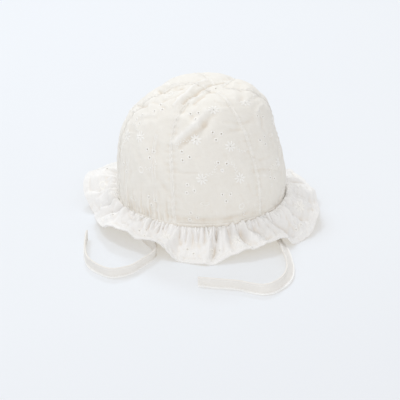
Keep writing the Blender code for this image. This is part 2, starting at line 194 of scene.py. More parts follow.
CREASES = tuple(Crease(*row) for row in (
    (((-39.0, 0.74), (-45.0, 0.82), (-79.0, 0.935), (-150.0, 0.955), (149.0, 0.915)), 0.0130, -0.028),
    (((-33.0, 0.76), (-30.0, 0.83), (-54.0, 0.965), (-148.0, 0.985)), 0.017, 0.017),
    (((-24.0, 0.75), (-21.0, 0.835), (-53.0, 0.980)), 0.013, -0.011),
    (((-44.0, 0.70), (-49.0, 0.785), (-66.0, 0.860), (-115.0, 0.910), (-150.0, 0.920)), 0.020, 0.017),
    (((-38.0, 0.74), (-33.0, 0.68), (-28.5, 0.59), (-26.0, 0.53), (-25.0, 0.47)), 0.017, -0.006),
    (((-37.3, 0.480), (-35.3, 0.395), (-32.3, 0.295), (-30.4, 0.15)), 0.0088, 0.0160),
    (((-39.0, 0.480), (-37.0, 0.395), (-34.0, 0.295), (-32.1, 0.15)), 0.0088, 0.0160),
    (((-20.0, 0.475), (-14.0, 0.510), (-8.0, 0.560), (-2.0, 0.625), (4.0, 0.675)), 0.052, 0.0040),
    (((-22.0, 0.440), (-16.0, 0.460), (-9.0, 0.490), (-1.0, 0.540)), 0.040, -0.0028),
    (((-100.0, 0.685), (-84.0, 0.725), (-72.0, 0.755), (-80.0, 0.800), (-88.0, 0.825)), 0.018, -0.020),
    (((-107.0, 0.710), (-99.0, 0.765), (-103.0, 0.805)), 0.026, 0.016),
    (((-96.0, 0.535), (-84.0, 0.570), (-73.0, 0.605)), 0.018, -0.012),
    (((-92.0, 0.500), (-80.0, 0.530), (-66.0, 0.540)), 0.024, 0.008),
    (((-62.0, 0.690), (-56.0, 0.760), (-60.0, 0.820)), 0.022, -0.010),
    (((-74.0, 0.640), (-60.0, 0.660), (-50.0, 0.655)), 0.020, -0.009),
    (((-70.0, 0.430), (-60.0, 0.450), (-50.0, 0.455)), 0.018, -0.005),
    (((-62.0, 0.560), (-52.0, 0.590)), 0.018, 0.006),
    (((16.0, 0.600), (24.0, 0.592), (32.0, 0.574), (41.0, 0.570)), 0.018, -0.006),
    (((19.0, 0.572), (30.0, 0.556), (43.0, 0.550)), 0.018, 0.004),
    (((22.0, 0.545), (29.0, 0.528), (38.0, 0.532)), 0.017, -0.004),
    (((38.0, 0.270), (46.0, 0.274), (53.0, 0.255), (64.0, 0.225)), 0.017, -0.006),
    (((42.0, 0.250), (58.0, 0.215)), 0.017, 0.006),
    (((33.0, 0.400), (39.0, 0.350), (46.0, 0.320), (56.0, 0.318)), 0.024, -0.006),
    (((66.0, 0.400), (58.0, 0.450), (54.0, 0.500), (57.0, 0.570)), 0.026, -0.008),
    (((50.0, 0.600), (60.0, 0.640), (72.0, 0.640)), 0.022, 0.008),
    (((44.0, 0.690), (54.0, 0.722), (64.0, 0.722), (76.0, 0.700)), 0.024, -0.007),
    (((4.0, 0.780), (14.0, 0.730), (26.0, 0.720)), 0.020, -0.007),
    (((-20.0, 0.298), (-11.0, 0.302), (-3.0, 0.305)), 0.014, -0.005),
    (((-18.0, 0.075), (0.0, 0.068), (18.0, 0.070), (30.0, 0.080)), 0.034, -0.009),
    (((118.0, 0.50), (134.0, 0.49), (150.0, 0.46)), 0.030, -0.012),
    (((170.0, 0.62), (188.0, 0.60), (206.0, 0.55)), 0.030, -0.012),
    (((196.0, 0.32), (210.0, 0.33), (224.0, 0.36)), 0.025, 0.010),
    (((132.0, 0.24), (146.0, 0.23), (158.0, 0.20)), 0.022, -0.008),
    (((100.0, 0.66), (116.0, 0.70), (134.0, 0.69)), 0.022, -0.009),
    (((226.0, 0.62), (240.0, 0.66), (252.0, 0.64)), 0.022, -0.010),
))

RIPPLES = tuple(Ripple(*row) for row in (
    (-84.0, 0.05, 0.44, 1.6, 0.00030),
    (-78.0, 0.04, 0.40, 1.3, -0.00028),
    (-71.0, 0.04, 0.46, 1.5, 0.00030),
    (-64.0, 0.03, 0.34, 1.3, -0.00030),
    (-58.0, 0.03, 0.36, 1.2, 0.00032),
    (-8.0, 0.02, 0.08, 1.1, -0.00025),
    (12.0, 0.02, 0.09, 1.2, 0.00025),
    (30.0, 0.02, 0.10, 1.2, -0.00025),
    (118.0, 0.02, 0.14, 1.2, 0.00035),
    (125.0, 0.02, 0.12, 1.1, -0.00035),
    (176.0, 0.02, 0.16, 1.2, 0.00035),
    (184.0, 0.02, 0.14, 1.2, -0.00035),
    (228.0, 0.02, 0.18, 1.2, 0.00035),
))

WAVES = tuple(Wave(*row) for row in (
    (-170.0, 0.92, 0.00, 0.6),
    (-161.0, 0.95, 0.00, 0.6),
    (-150.0, 1.02, 0.46, 0.8),
    (-140.0, 1.00, 0.87, 1.0),
    (-130.0, 0.96, 1.01, 1.0),
    (-119.0, 1.08, 1.10, 0.9),
    (-110.0, 1.16, 1.11, 0.8),
    (-102.5, 1.14, 0.90, 0.8),
    (-96.0, 1.00, 0.50, 0.8),
    (-91.0, 0.76, 0.00, 0.8),
    (-83.0, 0.68, 0.00, 0.8),
    (-75.0, 0.72, 0.28, 0.7),
    (-64.0, 0.80, 0.51, 0.5),
    (-57.0, 0.81, 0.55, 0.4),
    (-53.0, 0.82, 0.80, 0.3),
    (-45.0, 0.79, 0.88, 0.3),
    (-38.0, 0.73, 0.80, 0.2),
    (-34.0, 0.76, 0.70, 0.0),
    (-25.0, 0.73, 0.76, -0.3),
    (-20.0, 0.76, 0.64, -0.5),
    (-15.5, 0.79, 0.33, -0.6),
    (-11.0, 0.82, 0.06, -0.6),
    (-5.0, 0.86, 0.00, -0.6),
    (4.6, 0.95, 0.00, -0.6),
    (9.5, 0.88, 0.14, -0.6),
    (14.5, 0.86, 0.35, -0.5),
    (22.0, 0.86, 0.50, -0.4),
    (30.0, 0.86, 0.55, -0.3),
    (42.0, 0.82, 0.56, 0.0),
    (45.5, 0.86, 0.44, 0.1),
    (50.0, 0.91, 0.04, 0.2),
    (56.0, 0.94, 0.00, 0.3),
    (62.0, 0.98, 0.00, 0.4),
    (68.0, 0.99, 0.20, 0.5),
    (74.5, 1.00, 0.50, 0.6),
    (84.0, 0.98, 0.35, 0.7),
    (93.0, 1.00, 0.00, 0.7),
    (101.0, 1.01, 0.37, 0.8),
    (108.0, 1.03, 0.52, 0.8),
    (121.0, 1.04, 0.55, 0.8),
    (133.0, 1.01, 0.50, 0.8),
    (142.0, 0.98, 0.20, 0.7),
    (149.0, 0.97, 0.00, 0.6),
    (157.0, 0.97, 0.00, 0.6),
    (167.0, 0.97, 0.36, 0.7),
    (180.0, 0.95, 0.30, 0.7),
))

PLEATS = tuple(Pleat(*row) for row in (
    (9.0, 4.6, 0.10, 0.95, 1.5, -0.0019),
    (5.5, 1.5, 0.10, 0.90, 2.0, 0.0013),
    (12.5, 9.0, 0.10, 0.80, 2.0, 0.0012),
    (-6.0, -8.0, 0.05, 0.70, 1.6, -0.0014),
    (-12.5, -13.5, 0.05, 0.85, 1.8, -0.0014),
    (-16.0, -19.0, 0.10, 0.90, 2.2, 0.0012),
    (17.0, 16.0, 0.05, 0.60, 1.6, -0.0013),
    (23.5, 25.0, 0.10, 0.80, 1.8, -0.0017),
    (27.0, 30.0, 0.10, 0.90, 2.2, 0.0014),
    (33.0, 37.0, 0.15, 0.85, 2.2, -0.0012),
    (41.0, 47.0, 0.10, 0.80, 2.6, 0.0014),
    (48.0, 55.0, 0.10, 0.90, 2.6, -0.0015),
    (58.0, 66.0, 0.10, 0.95, 3.0, 0.0018),
    (65.0, 71.0, 0.15, 0.95, 2.6, -0.0016),
    (76.0, 79.0, 0.10, 0.90, 3.0, 0.0016),
    (84.0, 88.0, 0.10, 0.90, 2.8, -0.0015),
    (-27.0, -30.0, 0.10, 0.85, 2.2, -0.0013),
    (-36.0, -40.0, 0.10, 0.85, 2.6, 0.0013),
    (-44.0, -52.0, 0.10, 0.90, 2.6, -0.0016),
    (-55.0, -62.0, 0.10, 0.95, 3.0, 0.0016),
    (-62.0, -69.0, 0.02, 0.80, 1.9, -0.0024),
    (-67.0, -74.0, 0.05, 0.95, 2.2, 0.0020),
    (-72.0, -80.0, 0.02, 0.70, 1.8, -0.0024),
    (-77.0, -84.0, 0.05, 0.95, 2.4, 0.0020),
    (-83.0, -88.0, 0.05, 0.80, 2.0, -0.0022),
    (-90.0, -93.0, 0.10, 0.90, 2.6, 0.0018),
    (-96.0, -98.0, 0.05, 0.90, 2.0, -0.0020),
    (-104.0, -104.0, 0.10, 0.90, 2.4, 0.0014),
    (-112.0, -110.0, 0.10, 0.90, 3.4, 0.0016),
    (-124.0, -122.0, 0.10, 0.90, 3.0, -0.0016),
    (-143.0, -145.0, 0.10, 0.90, 3.2, 0.0016),
    (-158.0, -156.0, 0.10, 0.90, 3.0, -0.0014),
    (-176.0, -178.0, 0.10, 0.90, 3.2, 0.0016),
    (98.0, 96.0, 0.10, 0.90, 3.0, 0.0014),
    (112.0, 114.0, 0.10, 0.90, 3.0, -0.0015),
    (128.0, 126.0, 0.10, 0.90, 3.2, 0.0016),
    (144.0, 146.0, 0.10, 0.90, 3.0, -0.0015),
    (161.0, 160.0, 0.10, 0.90, 3.2, 0.0014),
))

TRIO, DAISY, RING, OVAL, SPRIG = Stitchery

FRONT_RIGHT_MOTIFS = tuple(Motif(*row) for row in (
    (TRIO, 0.19, 0.513, 15.0),
    (TRIO, 0.17, 0.338, 18.0),
    (TRIO, -0.62, 0.225, -10.0),
    (TRIO, 0.16, 0.188, 25.0),
    (TRIO, -0.59, 0.100, -12.0),
    (TRIO, -0.66, 0.388, -5.0),
    (TRIO, -0.40, 0.650, 40.0),
    (DAISY, -0.36, 0.488, 10.0),
    (DAISY, -0.33, 0.275, 30.0),
    (DAISY, 0.53, 0.263, 0.0),
    (DAISY, 0.47, 0.438, 20.0),
    (RING, 0.50, 0.138, 0.0),
    (OVAL, -0.31, 0.163, 0.0),
    (DAISY, 0.25, 0.700, 15.0),
    (SPRIG, -0.33, 0.275, 40.0),
    (SPRIG, 0.53, 0.263, 120.0),
    (SPRIG, 0.47, 0.438, -20.0),
    (SPRIG, -0.36, 0.488, 200.0),
    (SPRIG, 0.50, 0.138, -60.0),
))

FRONT_LEFT_MOTIFS = tuple(Motif(*row) for row in (
    (TRIO, 0.46, 0.375, 30.0),
    (TRIO, 0.15, 0.638, 5.0),
    (TRIO, -0.42, 0.250, 50.0),
    (TRIO, 0.48, 0.150, 20.0),
    (TRIO, -0.30, 0.520, 80.0),
    (DAISY, 0.05, 0.438, 0.0),
    (RING, 0.20, 0.275, 0.0),
    (DAISY, -0.55, 0.400, 10.0),
    (OVAL, -0.10, 0.130, 0.0),
    (RING, -0.10, 0.750, 0.0),
    (SPRIG, 0.05, 0.438, 160.0),
    (SPRIG, 0.20, 0.275, 30.0),
    (SPRIG, -0.55, 0.400, 250.0),
))

SIDE_MOTIFS = tuple(Motif(*row) for row in (
    (TRIO, -0.18, 0.588, 60.0),
    (TRIO, -0.55, 0.200, 5.0),
    (TRIO, 0.30, 0.330, 100.0),
    (TRIO, -0.50, 0.420, 40.0),
    (TRIO, 0.52, 0.120, 70.0),
    (DAISY, 0.40, 0.480, 0.0),
    (DAISY, -0.10, 0.260, 20.0),
    (DAISY, -0.30, 0.720, 5.0),
    (RING, 0.00, 0.110, 0.0),
    (OVAL, -0.05, 0.420, 0.0),
    (SPRIG, 0.40, 0.480, 60.0),
    (SPRIG, -0.10, 0.260, 190.0),
    (SPRIG, -0.30, 0.720, 10.0),
))

TIE_LEFT = tuple(TiePoint(*row) for row in (
    (-0.0709, -0.0125, 0.0150, 0.0),
    (-0.0684, -0.0222, 0.0145, 0.0),
    (-0.0635, -0.0325, 0.0100, 3.0),
    (-0.0570, -0.0445, 0.0035, 6.0),
    (-0.0480, -0.0620, 0.0000, 6.0),
    (-0.0405, -0.0770, 0.0000, 6.0),
    (-0.0385, -0.0880, 0.0000, 6.0),
    (-0.0420, -0.0975, 0.0000, 6.0),
    (-0.0482, -0.1070, 0.0000, 6.0),
    (-0.0580, -0.1202, 0.0000, 6.0),
    (-0.0720, -0.1263, 0.0000, 6.0),
    (-0.0830, -0.1202, 0.0000, 4.0),
    (-0.0920, -0.1093, 0.0000, 2.0),
    (-0.0963, -0.0971, 0.0000, 0.0),
    (-0.0988, -0.0785, 0.0000, -3.0),
    (-0.0994, -0.0611, 0.0000, -5.0),
    (-0.0990, -0.0552, 0.0000, -5.0),
))

TIE_RIGHT = tuple(TiePoint(*row) for row in (
    (0.0698, -0.0174, 0.0150, 0.0),
    (0.0657, -0.0293, 0.0145, 0.0),
    (0.0625, -0.0375, 0.0080, -12.0),
    (0.0635, -0.0500, 0.0010, -36.0),
    (0.0665, -0.0650, 0.0000, -50.0),
    (0.0700, -0.0800, 0.0000, -55.0),
    (0.0717, -0.0971, 0.0000, -50.0),
    (0.0724, -0.1116, 0.0000, -45.0),
    (0.0705, -0.1275, 0.0000, -40.0),
    (0.0648, -0.1412, 0.0000, -32.0),
    (0.0563, -0.1513, 0.0000, -20.0),
    (0.0480, -0.1545, 0.0000, -8.0),
    (0.0381, -0.1513, 0.0000, 0.0),
    (0.0282, -0.1468, 0.0000, 6.0),
    (0.0105, -0.1438, 0.0000, 8.0),
    (-0.0031, -0.1412, 0.0000, 8.0),
))


def ease(share: Array) -> Array:
    """Smooth step from 0 to 1."""
    held = np.clip(share, 0.0, 1.0)
    return held * held * (3.0 - 2.0 * held)


def unit(vectors: Array) -> Array:
    """Vectors brought to length 1."""
    return vectors / np.maximum(np.linalg.norm(vectors, axis=-1, keepdims=True), TINY)


def around(angle: Array) -> Array:
    """Angle in degrees brought to the range from -180 to 180."""
    return (angle + 180.0) % 360.0 - 180.0


def outward(turn: Array) -> Array:
    """Level direction away from the middle at a turn."""
    angle = np.radians(turn)
    return np.stack([np.sin(angle), -np.cos(angle), np.zeros_like(angle)], axis=-1)


def column(rows: Sequence[NamedTuple], name: str) -> Array:
    """One named column of a table."""
    return np.array([getattr(row, name) for row in rows], dtype=float)


def round_value(rows: Sequence[NamedTuple], name: str, turn: Array) -> Array:
    """Smooth value of one column of a table that runs once round the crown.

    Args:
        rows: Table whose rows carry a turn, in growing order.
        name: Column to read.
        turn: Turns to read it at, in degrees.

    Returns:
        The column's value at each turn.
    """
    turns = column(rows, "turn")
    values = column(rows, name)
    count = len(rows)
    knots = np.concatenate([turns[-2:] - 360.0, turns, turns[:3] + 360.0])
    held = np.concatenate([values[-2:], values, values[:3]])
    placed = (turn - turns[0]) % 360.0 + turns[0]
    here = np.clip(np.searchsorted(turns, placed, side="right") - 1, 0, count - 1) + 2
    span = knots[here + 1] - knots[here]
    share = (placed - knots[here]) / span
    start_slope = (held[here + 1] - held[here - 1]) / (knots[here + 1] - knots[here - 1]) * span
    end_slope = (held[here + 2] - held[here]) / (knots[here + 2] - knots[here]) * span
    square, cube = share ** 2, share ** 3
    return (
        (2.0 * cube - 3.0 * square + 1.0) * held[here]
        + (cube - 2.0 * square + share) * start_slope
        + (3.0 * square - 2.0 * cube) * held[here + 1]
        + (cube - square) * end_slope
    )


def surface_normal(
    point: Surface, turn: Array, share: Array, turn_step: float, share_step: float, top: float
) -> Array:
    """Direction square to a surface that is given by turn and share.

    Args:
        point: The surface's points for turns and shares.
        turn: Turns, in degrees.
        share: Shares of the way along the cloth.
        turn_step: How far to either side the surface is looked at.
        share_step: How far before and after it is looked at.
        top: Greatest share to look at.

    Returns:
        Unit vectors, outward where a growing share leads up.
    """
    low, high = np.maximum(share - share_step, 0.0), np.minimum(share + share_step, top)
    across = point(turn + turn_step, share) - point(turn - turn_step, share)
    along = point(turn, high) - point(turn, low)
    return unit(np.cross(across, along))


@dataclass(frozen=True)
class Crumple:
    """Smooth, repeatable unevenness in space, made of plane waves between two lengths."""

    seed: int
    shortest: float
    longest: float
    waves: int = 18

    def at(self, points: Array) -> Array:
        """Unevenness at some points.

        Args:
            points: The points, in metres.

        Returns:
            A number for each, mostly between -1 and 1.
        """
        draw = np.random.default_rng(self.seed)
        ways = unit(draw.normal(size=(self.waves, 3)))
        lengths = np.exp(draw.uniform(math.log(self.shortest), math.log(self.longest), self.waves))
        starts = draw.uniform(0.0, 2.0 * math.pi, self.waves)
        total = np.sin(points @ (ways * (2.0 * math.pi / lengths)[:, None]).T + starts)
        return total.sum(axis=1) / math.sqrt(self.waves)


@dataclass(frozen=True)
class CrownForm:
    """The crown's outer surface, the same as the measured solids' with the finer folds on it."""

    radius: float = 0.0745
    height: float = 0.109
    straight: float = 0.0135
    base: float = 0.0195
    gores: int = 6
    first_seam: float = -18.0
    curl: float = -34.0
    curl_power: float = 2.2
    roundness: float = 2.37
    tip_right: float = 0.012
    tip_forward: float = 0.015
    tip_from: float = 0.35
    walk_points: int = 2001
    least_radius: float = 0.0002
    puff: float = 0.0016
    seam_depth: float = 0.0012
    seam_width: float = 0.0035
    seam_from: float = 0.06
    seam_fade: float = 0.10
    seam_tip_fade: float = 0.12
    filled_low: float = 0.85
    filled_loss: float = 0.55
    filled_from: float = 0.45
    filled_fade: float = 0.25
    welt_height: float = 0.00066
    welt_width: float = 0.0019
    welt_power: int = 6
    welt_dip: float = 0.75
    welt_dip_width: float = 0.00055
    pucker_height: float = 0.00016
    pucker_pitch: float = 0.0058
    pucker_width: float = 0.006
    pucker_sway: float = 3.0
    pucker_sway_rate: float = 90.0
    pucker_slant: float = 0.2
    ripple_depth: float = 2.4
    ripple_low_fade: float = 0.04
    ripple_high_fade: float = 0.10
    gather_pitch: float = 2.6
    gather_depth: float = 0.00070
    gather_from: float = -66.0
    gather_to: float = -18.0
    gather_fade: float = 5.0
    gather_elsewhere: float = 0.12
    gather_rise: float = 0.20
    gather_rise_mean: float = 0.8
    gather_rise_swing: float = 0.3
    gather_rise_rate: float = 0.9
    gather_rise_fade: float = 0.09
    gather_sway: float = 1.6
    gather_sway_rate: float = 0.83
    gather_lean: float = 12.0
    crumple_height: float = 0.00042
    crumple: Crumple = Crumple(11, 0.014, 0.045)
    fine_crumple: Crumple = Crumple(12, 0.005, 0.011)
    fine_crumple_share: float = 0.45
    plain_base: float = 0.015
    plain_base_fade: float = 0.05
    plain_tip_fade: float = 0.06

    def section(self, rise: Array) -> tuple[Array, Array]:
        """The plain dome's outline.

        Args:
            rise: Rises.

        Returns:
            Radius, and height above the base seam.
        """
        side = self.straight / self.height
        bend = np.clip((rise - side) / (1.0 - side), 0.0, 1.0) * math.pi / 2.0
        radius = self.radius * np.maximum(np.cos(bend), 0.0) ** (2.0 / self.roundness)
        cap = (self.height - self.straight) * np.sin(bend) ** (2.0 / self.roundness)
        return radius, np.where(rise <= side, rise * self.height, self.straight + cap)

    @cached_property
    def walk(self) -> tuple[Array, Array]:
        """The way up the cloth.

        Returns:
            Rises from 0 to 1, and the distance along the cloth up to each.
        """
        rises = np.linspace(0.0, 1.0, self.walk_points)
        radius, height = self.section(rises)
        steps = np.hypot(np.diff(radius), np.diff(height))
        return rises, np.concatenate([[0.0], np.cumsum(steps)])

    def rise_at(self, along: Array) -> Array:
        """Rise at a distance along the cloth from the base seam."""
        return np.interp(along, self.walk[1], self.walk[0])

    def along_at(self, rise: Array) -> Array:
        """Distance along the cloth from the base seam to a rise."""
        return np.interp(rise, self.walk[0], self.walk[1])

    def seam_curl(self, rise: Array) -> Array:
        """How far the gore seams have curled round the crown at a rise, in degrees."""
        return self.curl * np.maximum(rise, 0.0) ** self.curl_power

    def middle(self, gore: int) -> float:
        """Turn of a gore's middle at the base seam."""
        return self.first_seam + (gore + 0.5) * 360.0 / self.gores

    def dome(self, turn: Array, rise: Array) -> Array:
        """The plain dome, its tip drawn a little to the right and the front.

        Args:
            turn: Turns, in degrees.
            rise: Rises.

        Returns:
            Points of the dome.
        """
        radius, height = self.section(rise)
        angle = np.radians(turn)
        drawn = ease((rise - self.tip_from) / (1.0 - self.tip_from))
        return np.stack([
            radius * np.sin(angle) + self.tip_right * drawn,
            -radius * np.cos(angle) - self.tip_forward * drawn,
            self.base + height,
        ], axis=-1)

    def dome_normal(self, turn: Array, rise: Array) -> Array:
        """Outward direction of the plain dome."""
        return surface_normal(self.dome, turn, rise, turn_step=1.0, share_step=0.01, top=0.9999)

    def seam_offset(self, turn: Array, rise: Array) -> Array:
        """How far places lie from the nearest gore seam.

        Args:
            turn: Turns, in degrees.
            rise: Rises.

        Returns:
            Distance round the crown past the seam, in metres, less than 0 before it.
        """
        pitch = 360.0 / self.gores
        off = (turn - self.seam_curl(rise) - self.first_seam + pitch / 2.0) % pitch - pitch / 2.0
        return np.radians(off) * self.section(rise)[0]

    def line_push(self, points: Array, places: Array, width: float, push: float) -> Array:
        """Push of one fold along a line.

        Args:
            points: Points of the dome.
            places: Rows of turn and rise that the line runs through.
            width: Half width as a share of the radius.
            push: Push as a share of the radius.

        Returns:
            The push at each point, in metres.
        """
        knots = self.dome(places[:, 0], places[:, 1])
        nearest = np.full(len(points), np.inf)
        for start, end in zip(knots[:-1], knots[1:]):
            line = end - start
            share = np.clip((points - start) @ line / (line @ line), 0.0, 1.0)
            nearest = np.minimum(nearest, np.linalg.norm(points - start - share[:, None] * line, axis=1))
        return push * self.radius * np.exp(-((nearest / (width * self.radius)) ** 2))

    def broad_push(self, turn: Array, rise: Array) -> Array:
        """The main forms: puffed gores, seam valleys, bulges and folds.

        Args:
            turn: Turns, in degrees.
            rise: Rises.

        Returns:
            How far the cloth stands out from the plain dome, in metres.
        """
        pitch = 360.0 / self.gores
        across = ((turn - self.seam_curl(rise) - self.first_seam) % pitch) / pitch
        push = self.puff * np.sin(math.pi * across) * np.sin(math.pi * np.minimum(rise, 1.0))
        fade = ease((rise - self.seam_from) / self.seam_fade) * ease((1.0 - rise) / self.seam_tip_fade)
        valley = np.exp(-((self.seam_offset(turn, rise) / self.seam_width) ** 2))
        push -= fade * self.seam_depth * valley
        for bulge in BULGES:
            off = around(turn - bulge.turn)
            near = (off / bulge.turn_spread) ** 2 + ((rise - bulge.rise) / bulge.rise_spread) ** 2
            push += bulge.push * self.radius * np.exp(-near)
        points = self.dome(turn, rise)
        for fold in FOLDS:
            places = np.array([[fold.from_turn, fold.from_rise], [fold.to_turn, fold.to_rise]])
            push += self.line_push(points, places, fold.width, fold.push)
        return push

    def seam_push(self, turn: Array, rise: Array) -> Array:
        """Raised, puckered welts along the gore seams, which partly fill the seam valleys.

        Args:
            turn: Turns, in degrees.
            rise: Rises.

        Returns:
            How far they stand out from the main forms, in metres.
        """
        offset = self.seam_offset(turn, rise)
        seam = np.abs(offset)
        dip = self.welt_dip * np.exp(-((seam / self.welt_dip_width) ** 2))
        welt = np.exp(-((seam / self.welt_width) ** self.welt_power)) * (1.0 - dip)
        step = self.along_at(rise)
        sway = self.pucker_sway * np.sin(step * self.pucker_sway_rate)
        pucker = np.sin(2.0 * math.pi * step / self.pucker_pitch + sway + turn * self.pucker_slant)
        push = self.welt_height * welt
        thinner = self.filled_loss * ease((rise - self.filled_from) / self.filled_fade)
        filled = ease((rise - self.seam_from) / self.seam_fade) * (self.filled_low - thinner)
        push += filled * self.seam_depth * np.exp(-((offset / self.seam_width) ** 2))
        return push + self.pucker_height * pucker * np.exp(-((seam / self.pucker_width) ** 2))

    def gather_push(self, turn: Array, rise: Array) -> Array:
        """Small upright gathers above the base seam, deepest at the front left.

        Args:
            turn: Turns, in degrees.
            rise: Rises.

        Returns:
            How far they stand out from the main forms, in metres.
        """
        off = around(turn)
        drawn = ease((off - self.gather_from) / self.gather_fade)
        drawn = drawn * ease((self.gather_to - off) / self.gather_fade)
        depth = self.gather_depth * (self.gather_elsewhere + (1.0 - self.gather_elsewhere) * drawn)
        uneven = self.gather_rise_mean + self.gather_rise_swing * np.sin(turn * self.gather_rise_rate)
        low = ease((self.gather_rise * uneven - rise) / self.gather_rise_fade)
        sway = self.gather_sway * np.sin(turn * self.gather_sway_rate)
        swing = np.sin(2.0 * math.pi * turn / self.gather_pitch + sway + rise * self.gather_lean)
        return depth * low * swing

    def fine_push(self, turn: Array, rise: Array) -> Array:
        """The finer forms: welts, puckers, creases, ripples, gathers and crumpled cloth.

        Args:
            turn: Turns, in degrees.
            rise: Rises.

        Returns:
            How far they stand out from the main forms, in metres.
        """
        push = self.seam_push(turn, rise)
        points = self.dome(turn, rise)
        for crease in CREASES:
            push += self.line_push(points, np.array(crease.path), crease.width, crease.push)
        for ripple in RIPPLES:
            off = around(turn - ripple.turn)
            ends = ease((rise - ripple.low) / self.ripple_low_fade)
            ends = ends * ease((ripple.high - rise) / self.ripple_high_fade)
            push += self.ripple_depth * ripple.push * ends * np.exp(-((off / ripple.width) ** 2))
        push += self.gather_push(turn, rise)
        push += self.crumple_height * self.crumple.at(points)
        push += self.crumple_height * self.fine_crumple_share * self.fine_crumple.at(points)
        clear_of_base = ease((rise - self.plain_base) / self.plain_base_fade)
        return push * clear_of_base * ease((1.0 - rise) / self.plain_tip_fade)

    def smooth_point(self, turn: Array, rise: Array) -> Array:
        """Points of the cloth in its main forms only."""
        return self.dome(turn, rise) + self.dome_normal(turn, rise) * self.broad_push(turn, rise)[:, None]

    def point(self, turn: Array, rise: Array) -> Array:
        """Points on the outside of the cloth."""
        push = self.broad_push(turn, rise) + self.fine_push(turn, rise)
        return self.dome(turn, rise) + self.dome_normal(turn, rise) * push[:, None]

    def half_width(self, along: Array) -> Array:
        """Half a gore's width at a distance along the cloth."""
        return math.pi / self.gores * self.section(self.rise_at(along))[0]

    def turn_and_rise(self, gore: int, flat: Array) -> tuple[Array, Array]:
        """Where flat points of a gore lie on the crown.

        Args:
            gore: The gore's number.
            flat: Points across and along the gore.

        Returns:
            Their turns, in degrees, and rises.
        """
        rise = self.rise_at(flat[:, 1])
        radius = np.maximum(self.section(rise)[0], self.least_radius)
        return self.middle(gore) + self.seam_curl(rise) + np.degrees(flat[:, 0] / radius), rise

    def laid(self, gore: int, flat: Array, height: Array) -> Array:
        """Lay flat work of one gore on the crown.

        Args:
            gore: The gore's number.
            flat: Points across and along the gore.
            height: Their heights above the cloth.

        Returns:
            Points in space.
        """
        turn, rise = self.turn_and_rise(gore, flat)
        up = surface_normal(self.point, turn, rise, turn_step=0.6, share_step=0.004, top=0.9995)
        return self.point(turn, rise) + up * height[:, None]


@dataclass(frozen=True)
class BandForm:
    """The seam band: a folded binding round the crown's lower edge."""

    crown: CrownForm
    width: float = 0.0050
    proud: float = 0.0005
    edge_loss: float = 0.70
    edge_power: int = 7
    inside: float = -0.0012
    slot_outside: float = 0.00008
    slot_inside: float = -0.00075
    slot_floor: float = 0.10
    stitch_lines: tuple[float, float] = (0.17, 0.83)
    stitch_dip: float = 0.00018
    stitch_dip_width: float = 0.055
    pucker: float = 0.00022
    puckers: Crumple = Crumple(21, 0.006, 0.014)
    pucker_upright: float = 0.3

    def face(self, share: Array) -> Array:
        """The band's outer face.

        Args:
            share: Shares of the band's width.

        Returns:
            How far the face stands out at each.
        """
        edge = np.abs(2.0 * share - 1.0) ** self.edge_power
        dips = sum(np.exp(-(((share - line) / self.stitch_dip_width) ** 2)) for line in self.stitch_lines)
        return self.proud * (1.0 - self.edge_loss * edge) - self.stitch_dip * dips

    def point(self, turn: Array, share: Array, offset: Array) -> Array:
        """The band in space.

        Args:
            turn: Turns, in degrees.
            share: Shares of the band's width, from its lower edge.
            offset: Distances out from the crown's cloth.

        Returns:
            Points of the band.
        """
        rise = share * self.width / self.crown.height
        cloth = self.crown.smooth_point(turn, rise)
        uneven = self.pucker * self.puckers.at(cloth * np.array([1.0, 1.0, self.pucker_upright]))
        return cloth + outward(turn) * (offset + uneven)[:, None]

    def laid(self, flat: Array, height: Array) -> Array:
        """Lay flat stitching on the band.

        Args:
            flat: Points by distance round the crown and up the band.
            height: Their heights above the band's face.

        Returns:
            Points in space.
        """
        share = flat[:, 1] / self.width
        turn = np.degrees(flat[:, 0] / self.crown.radius)
        return self.point(turn, share, self.face(share) + height)


